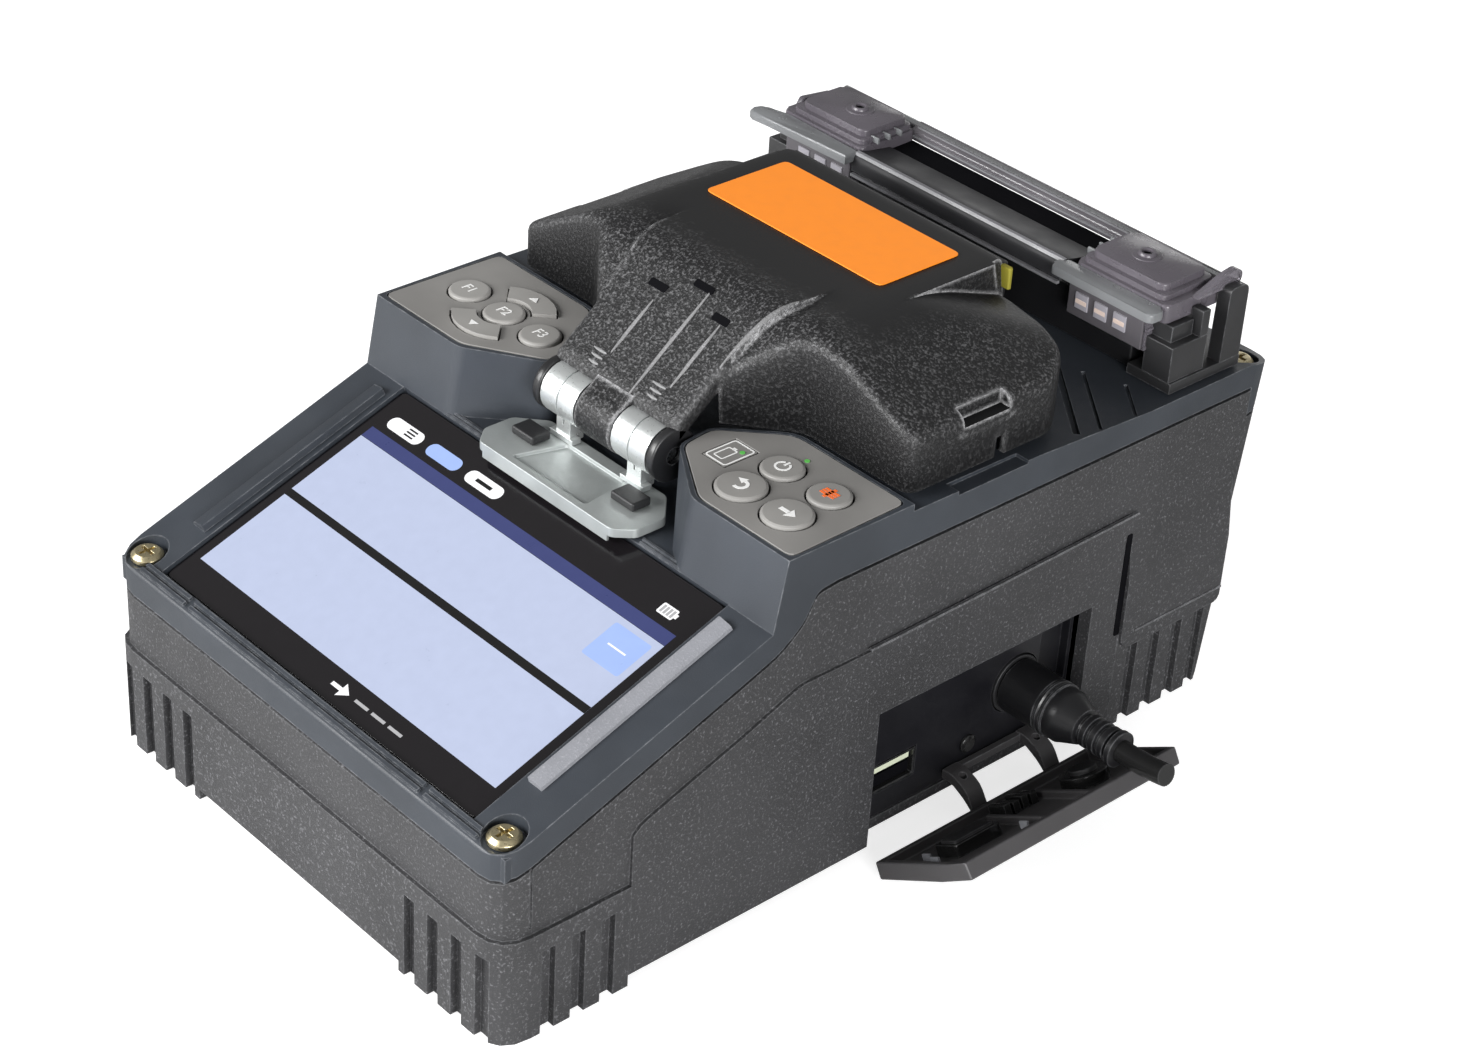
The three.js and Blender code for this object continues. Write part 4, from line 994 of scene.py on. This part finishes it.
def lid_ring(word):
    """The raised ring round a hole on a pad; the hole is a dark disc of painted shade."""
    pin = middle_mm(f"lid_pin_{word}")
    centre = (pin.x, pin.y, PAD_TOP)
    rim = [(1.1, -0.1), (1.1, 0.7), (1.35, 0.95), (1.8, 0.95), (2.0, 0.7)]
    dish = [(2.1, 0.3), (3.2, 0.18), (3.4, -0.1)]
    ring = lathe(f"lid_ring_{word}", rim + dish, "z", centre, SMOKE_PAD, "heater_lid")
    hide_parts(f"lid_pin_{word}")
    hole = rectangle(0.0, 1.15, -0.05, 0.25)
    lathe(f"lid_hole_{word}", hole, "z", centre, SHADOW_PAINT, "heater_lid")


def end_block(name, side, x0, x1, y0, y1, z0, z1):
    outline = [(side * x, y) for x, y in rectangle(x0, x1, y0, y1)]
    return slab(f"end_{name}_{SIDES[side]}", outline, at, z0, z1, END_BLACK, "case", 0.25)


def heater_end(side):
    """Foot, front block with a notch, and the post that carries the lid's hinge."""
    foot = end_block("foot", side, 51.0, 63.0, 179.0, 201.4, 78.6, 81.0)
    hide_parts(f"heater_end_{SIDES[side]}")
    end_block("block", side, 55.0, 62.4, 179.0, 190.0, 81.0, 89.3)
    end_block("core", side, 55.0, 60.4, 180.6, 187.2, 89.3, 93.0)
    end_block("wall", side, 59.3, 62.4, 187.6, 190.0, 89.3, 95.4)
    top = POST_TOP[side]
    post = [(194.8, 80.9, 0), (201.2, 80.9, 0), (201.2, top, 2.2), (195.2, top, 1.6)]
    x0, x1 = side * 59.6, side * 63.0
    x_prism(f"end_post_{SIDES[side]}", rounded(post), x0, x1, END_BLACK, "case")


def heater_pin():
    """The steel rod that the lid turns on."""
    rod = rectangle(0, 1.4, -58.4, 62.4)
    pin = lathe("heater_pin", rod, "x", LID_HINGE, STEEL, "case")
    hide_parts("heater_hinge_pin")


lid_middle()
for side, word in SIDES.items():
    lid_pad(side, word)
    lid_front(side, word)
    lid_ring(word)
    heater_end(side)
lid_ears()
heater_pin()

# ---------- Screen picture ----------

SCREEN_N = -GLASS_SUNK + 0.01
FILM = 0.014
PICTURE_HALF = 49


def on_screen(name, outline, material, layer=0):
    """A thin film on the glass; higher layers lie on lower ones."""
    low = SCREEN_N + 0.012 * layer
    slab(f"screen_{name}", outline, on_slope, low, low + FILM, material, "case")


def camera_picture():
    """Two pale fields with the dark fibre between them, and a blue box in the corner."""
    on_screen("picture", rectangle(-PICTURE_HALF, PICTURE_HALF, 11.4, 55), SCREEN_LILAC)
    on_screen("band", rectangle(-PICTURE_HALF, PICTURE_HALF, 55.1, 58.2), SCREEN_NAVY)
    on_screen("fibre", rectangle(-PICTURE_HALF, PICTURE_HALF, 34.0, 35.9), SCREEN_BLACK, 1)
    on_screen("axis_box", rectangle(36.5, 47.3, 44, 53.5, 0.6), SCREEN_BLUE, 1)
    on_screen("axis_rule", rectangle(39.3, 44.5, 48.55, 48.95), SCREEN_WHITE, 2)


def lower_bar():
    """An arrow and three dashes."""
    on_screen("arrow_bar", rectangle(1.6, 5.0, 7.5, 8.4), SCREEN_WHITE)
    on_screen("arrow_head", [(4.6, 6.2), (7.2, 7.95), (4.6, 9.7)], SCREEN_WHITE)
    for tick in range(3):
        x = 9.2 + tick * 5.4
        on_screen(f"arrow_{tick}", rectangle(x, x + 4.2, 7.6, 8.3), SCREEN_GREY)


def upper_bar():
    """Three pills, one with menu lines and one with a dash, and a battery."""
    pills = (("left", -47.2, -36.2, SCREEN_WHITE), ("middle", -33.8, -23.2, SCREEN_BLUE),
             ("right", -20.6, -9.4, SCREEN_WHITE))
    for label, x0, x1, colour in pills:
        on_screen(f"pill_{label}", rectangle(x0, x1, 59.9, 63.4, 1.7), colour)
    for row in range(3):
        s = 60.7 + row * 0.85
        on_screen(f"menu_{row}", rectangle(-41.4, -38.6, s, s + 0.42), SCREEN_BLACK, 1)
    on_screen("pill_mark", rectangle(-17.6, -12.6, 61.2, 62.1), SCREEN_BLACK, 1)
    on_screen("battery", rectangle(40.6, 45.0, 60.2, 62.9, 0.4), SCREEN_WHITE)
    on_screen("battery_tip", rectangle(45.0, 45.6, 61.0, 62.1), SCREEN_WHITE)
    for cell in range(4):
        x = 41.1 + cell * 0.95
        on_screen(f"battery_cell_{cell}", rectangle(x, x + 0.65, 60.6, 62.5), SCREEN_GREY, 1)


camera_picture()
lower_bar()
upper_bar()

# ---------- Keypads ----------

PLATE_TOP = box_mm("right_key_plate")[1].z
KEY_TOP = box_mm("key_f1")[1].z
LETTER_SIZE = 3.6
ARROW = [(-1.2, -0.72), (1.2, -0.72), (0, 0.96)]


def key_middle(node):
    middle = middle_mm(node)
    return middle.x, middle.y - FRONT


def on_key(name, key, outline, material):
    """A printed mark on a key. The outline is measured from the key's middle."""
    cx, cy = key_middle(key)
    moved = [(cx + x, cy + y) for x, y in outline]
    slab(f"mark_{name}", moved, at, KEY_TOP - 0.02, KEY_TOP + 0.03, material, key)


def on_plate(name, outline, material, height=0.03):
    low, high = PLATE_TOP - 0.02, PLATE_TOP + height
    slab(f"print_{name}", outline, at, low, high, material, "case")


def frame_outline(x0, x1, y0, y1, radius, width):
    """A closed stroke that makes a rounded box."""
    loop = rectangle(x0, x1, y0, y1, radius)
    return stroke(loop + [loop[0]], width)


def gauge():
    """A box with a battery sign in it, its lamp, and the lamp beside the power key."""
    low, high = box_mm("battery_gauge")
    x0, x1 = low.x + 0.3, high.x - 0.3
    y0, y1 = low.y - FRONT + 0.3, high.y - FRONT - 0.3
    on_plate("gauge_box", frame_outline(x0, x1, y0, y1, 0.7, 0.35), WHITE_INK)
    on_plate("gauge_cell", frame_outline(x0 + 1.2, x0 + 3.6, y0 + 1.2, y0 + 5.4, 0.3, 0.3), WHITE_INK)
    on_plate("gauge_tip", rectangle(x0 + 1.9, x0 + 2.9, y0 + 5.5, y0 + 6.1), WHITE_INK)
    on_plate("gauge_led", circle(x1 - 1.4, y1 - 2.2, 0.55), GREEN_LED, 0.15)
    on_plate("power_led", circle(40.7, 95.4, 0.55), GREEN_LED, 0.15)


def key_signs():
    """The usual signs for up, down, power, back, start and heat."""
    on_key("up", "key_up", [(x, y + 0.8) for x, y in ARROW], WHITE_INK)
    on_key("down", "key_down", [(x, -y - 0.8) for x, y in ARROW], WHITE_INK)
    on_key("power_ring", "key_power", stroke(arc(0, 0, 1.55, 115, 425), 0.5), WHITE_INK)
    on_key("power_bar", "key_power", rectangle(-0.25, 0.25, 0.4, 2.0), WHITE_INK)
    on_key("back_hook", "key_back", stroke(arc(0, -0.2, 1.4, -110, 100), 0.75), WHITE_INK)
    on_key("back_head", "key_back", [(-0.2, 2.2), (-0.2, 0.2), (-2.1, 1.2)], WHITE_INK)
    on_key("start_bar", "key_start", rectangle(-2.1, 0.4, -0.5, 0.5), WHITE_INK)
    on_key("start_head", "key_start", [(0.3, -1.5), (2.2, 0), (0.3, 1.5)], WHITE_INK)
    for row in range(3):
        y = (row - 1) * 0.8
        on_key(f"heat_{row}", "key_heat", rectangle(-1.9, 1.9, y - 0.28, y + 0.28), ORANGE_INK)
    on_key("heat_bar", "key_heat", rectangle(-0.4, 0.4, -1.8, 1.8), ORANGE_INK)


def letters(name, text, key):
    """A generic key legend turned into a mesh."""
    curve = bpy.data.curves.new(name, "FONT")
    curve.body = text
    curve.size = LETTER_SIZE * MM
    curve.extrude = 0.025 * MM
    curve.align_x = "CENTER"
    curve.align_y = "CENTER"
    source = bpy.data.objects.new(name + "_source", curve)
    show(source)
    bpy.context.view_layer.update()
    mesh = bpy.data.meshes.new_from_object(source.evaluated_get(bpy.context.evaluated_depsgraph_get()))
    bpy.data.objects.remove(source)
    cx, cy = key_middle(key)
    mesh.transform(Matrix.Translation(at(cx, cy, KEY_TOP + 0.005)))
    mesh.materials.clear()
    mesh.materials.append(WHITE_INK)
    obj = bpy.data.objects.new(f"mark_{name}", mesh)
    show(obj)
    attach(obj, key)


gauge()
key_signs()
for number in (1, 2, 3):
    letters(f"f{number}", f"F{number}", f"key_f{number}")

# ---------- Ports ----------


def usb_tongue():
    """The pale tongue along the top of the socket, which glows as painted light, and a dark bar of painted
    shade below it.
    """
    low, high = box_mm("usb_port")
    y0, y1 = low.y - FRONT + 1.0, high.y - FRONT - 1.0
    for name, top, thick, material in (("tongue", 1.2, 1.5, USB_WHITE), ("socket_shade", 3.4, 2.8, SHADOW_PAINT)):
        section = rectangle(y0, y1, high.z - top - thick, high.z - top)
        x_prism(f"usb_{name}", section, high.x - 9, high.x - 0.9, material, "case")


def tube(name, points, radius, material, body):
    """A round bar along a line of points, given in at() millimetres."""
    steps = 20
    data = bmesh.new()
    rings = []
    count = len(points)
    for i, point in enumerate(points):
        ahead = (Vector(points[min(i + 1, count - 1)]) - Vector(points[max(i - 1, 0)])).normalized()
        side = ahead.cross(Vector((0, 0, 1))).normalized()
        up = side.cross(ahead)
        ring = []
        for k in range(steps):
            turn = math.tau * k / steps
            place = Vector(point) + (side * math.cos(turn) + up * math.sin(turn)) * radius
            ring.append(data.verts.new(at(*place)))
        rings.append(ring)
    join_rings(data, rings)
    data.faces.new(rings[0])
    data.faces.new(rings[-1])
    return finished(name, data, material, body)


JACK_HALF = 6.9
PLUG_Y = box_mm("dc_jack")[0].y - FRONT + JACK_HALF
PLUG_Z = box_mm("dc_jack")[0].z + JACK_HALF


def plug():
    """Barrel with two fine rings, a cone, a segmented strain relief and the cable's first bend."""
    barrel = [(0, 51.0), (2.8, 51.0), (2.8, 62.2), (6.0, 62.2), (6.3, 62.6), (6.3, 72.2)]
    for start in (72.2, 73.6):
        barrel += [(6.0, start + 0.1), (6.0, start + 0.5), (6.45, start + 0.6), (6.45, start + 1.1)]
    cone = [(6.1, 74.9), (6.1, 77.2), (5.7, 78.0), (4.1, 82.0), (3.2, 82.4)]
    relief = []
    for start in (83.0, 85.6, 88.2):
        relief += [(3.1, start), (3.8, start + 0.3), (3.8, start + 1.7), (3.1, start + 2.0)]
    end = [(3.1, 90.6), (4.1, 90.8), (4.1, 92.0), (3.6, 92.2), (0, 92.2)]
    centre = (0, PLUG_Y + FRONT, PLUG_Z)
    body = lathe("plug_body", barrel + cone + relief + end, "x", centre, PLUG_BLACK, "dc_plug")
    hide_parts("dc_plug")
    bend = [(91.5, PLUG_Y, PLUG_Z)]
    for step in range(1, 9):
        t = step / 8
        bend.append((91.5 + 13.5 * t, PLUG_Y - 0.6 * t, PLUG_Z + 1.6 * t * t))
    tube("plug_cable", bend, 2.5, GLOSS_BLACK, "dc_plug")


FLAP_TILT = math.radians(31)
FLAP_INSIDE = -2.3


def on_flap(u, y, v):
    """A point on the open port cover: u runs from its hinge side and v out of its inner face."""
    x = 72 + u * math.cos(FLAP_TILT) - v * math.sin(FLAP_TILT)
    z = 1.9 + u * math.sin(FLAP_TILT) + v * math.cos(FLAP_TILT)
    return at(x, y, z)


def flap_piece(name, outline, low, high, material=GLOSS_BLACK):
    slab(f"flap_{name}", outline, on_flap, low, high, material, "port_cover", 0.15)


def flap_details():
    """Stoppers for the sockets, catches, and small tabs inside the port cover painted light as painted
    highlights.
    """
    flap_piece("stopper", rectangle(9.5, 16.5, 101.0, 114.0, 0.8), FLAP_INSIDE, 0.4)
    flap_piece("stopper_top", rectangle(10.5, 15.5, 102.0, 113.0, 0.6), 0.4, 1.0, RUBBER)
    flap_piece("cap", circle(13.0, 142.5, 5.4), FLAP_INSIDE, 0.2)
    flap_piece("cap_ring", circle(13.0, 142.5, 3.2), 0.2, 1.2, RUBBER)
    for row in range(4):
        y = 121.8 + row * 2.6
        smaller = row % 2
        catch = rectangle(4.5 + 0.8 * smaller, 9.5, y, y + 1.8)
        flap_piece(f"catch_{row}", catch, FLAP_INSIDE, 0.6 - 0.3 * smaller)
    for index, (u, y) in enumerate(((19.5, 116.2), (8.4, 98.2), (12.6, 96.8), (17.5, 150.6))):
        flap_piece(f"tab_{index}", rectangle(u, u + 2.4, y, y + 0.5), FLAP_INSIDE, -0.4, BAR_HIGHLIGHT)


usb_tongue()
plug()
flap_details()

# ---------- Stage, light and camera ----------


def floor():
    """A pale table under the object that looks white to the camera and still takes shadows."""
    data = bmesh.new()
    bmesh.ops.create_grid(data, x_segments=1, y_segments=1, size=4.0)
    mesh = bpy.data.meshes.new("floor")
    data.to_mesh(mesh)
    data.free()
    n = Nodes("floor_pale")
    cloud = n.ramp(n.noise(80.0, 3.0), 0.3, 0.7)
    n.set(Base_Color=n.mix(cloud, (0.60, 0.60, 0.60), (0.62, 0.62, 0.62)), Roughness=0.85)
    rays = n.tree.nodes.new("ShaderNodeLightPath")
    glow = n.ramp(rays.outputs["Is Camera Ray"], 0.0, 1.0, 0.0, 0.72)
    n.set(Emission_Color=(1.0, 1.0, 1.0), Emission_Strength=glow)
    mesh.materials.append(n.material)
    obj = bpy.data.objects.new("floor", mesh)
    obj.location.z = FLOOR_Z * MM
    show(obj)


def softbox(name, location, target, size, power):
    """A rectangular lamp. Places and sizes are in metres, power in watts."""
    light = bpy.data.lights.new(name, "AREA")
    light.shape = "RECTANGLE"
    light.size, light.size_y = size
    light.energy = power
    obj = bpy.data.objects.new(name, light)
    obj.location = location
    obj.rotation_euler = (Vector(target) - Vector(location)).to_track_quat("-Z", "Y").to_euler()
    show(obj)


def world(strength):
    """An even white surround that looks pure white to the camera and lights more gently."""
    surround = bpy.data.worlds.new("studio")
    surround.use_nodes = True
    tree = surround.node_tree
    background = tree.nodes["Background"]
    background.inputs["Color"].default_value = (1, 1, 1, 1)
    rays = tree.nodes.new("ShaderNodeLightPath")
    level = tree.nodes.new("ShaderNodeMapRange")
    level.inputs["To Min"].default_value = strength
    level.inputs["To Max"].default_value = 1.0
    tree.links.new(rays.outputs["Is Camera Ray"], level.inputs["Value"])
    tree.links.new(level.outputs["Result"], background.inputs["Strength"])
    bpy.context.scene.world = surround


CAMERA_PLACE = (411.93, -280.80, 403.78)  # as for at()
CAMERA_RIGHT = Vector((0.66682, 0.74326, 0.05399))
CAMERA_AHEAD = Vector((-0.60726, 0.58394, -0.53875))
SENSOR = 36.0  # mm
FOCAL = 2.12783  # focal length as a share of the picture's width


def camera():
    lens = bpy.data.cameras.new("camera")
    lens.sensor_width = SENSOR
    lens.lens = SENSOR * FOCAL
    lens.clip_start = 0.01
    obj = bpy.data.objects.new("camera", lens)
    back = -CAMERA_AHEAD.normalized()
    right = CAMERA_RIGHT.normalized()
    up = back.cross(right).normalized()
    turn = Matrix((right, up, back)).transposed().to_4x4()
    obj.matrix_world = Matrix.Translation(at(*CAMERA_PLACE)) @ turn
    show(obj)
    bpy.context.scene.camera = obj


floor()
softbox("front_light", (-0.40, -1.0, 0.52), (0, 0, 0.05), (0.9, 0.5), 23)
softbox("side_light", (0.95, -0.45, 0.30), (0, 0, 0.05), (0.5, 0.4), 12)
softbox("rear_light", (-0.4, 1.0, 0.30), (0, 0, 0.06), (0.6, 0.2), 1.0)
world(0.30)
camera()
bpy.context.scene.view_settings.view_transform = "Standard"
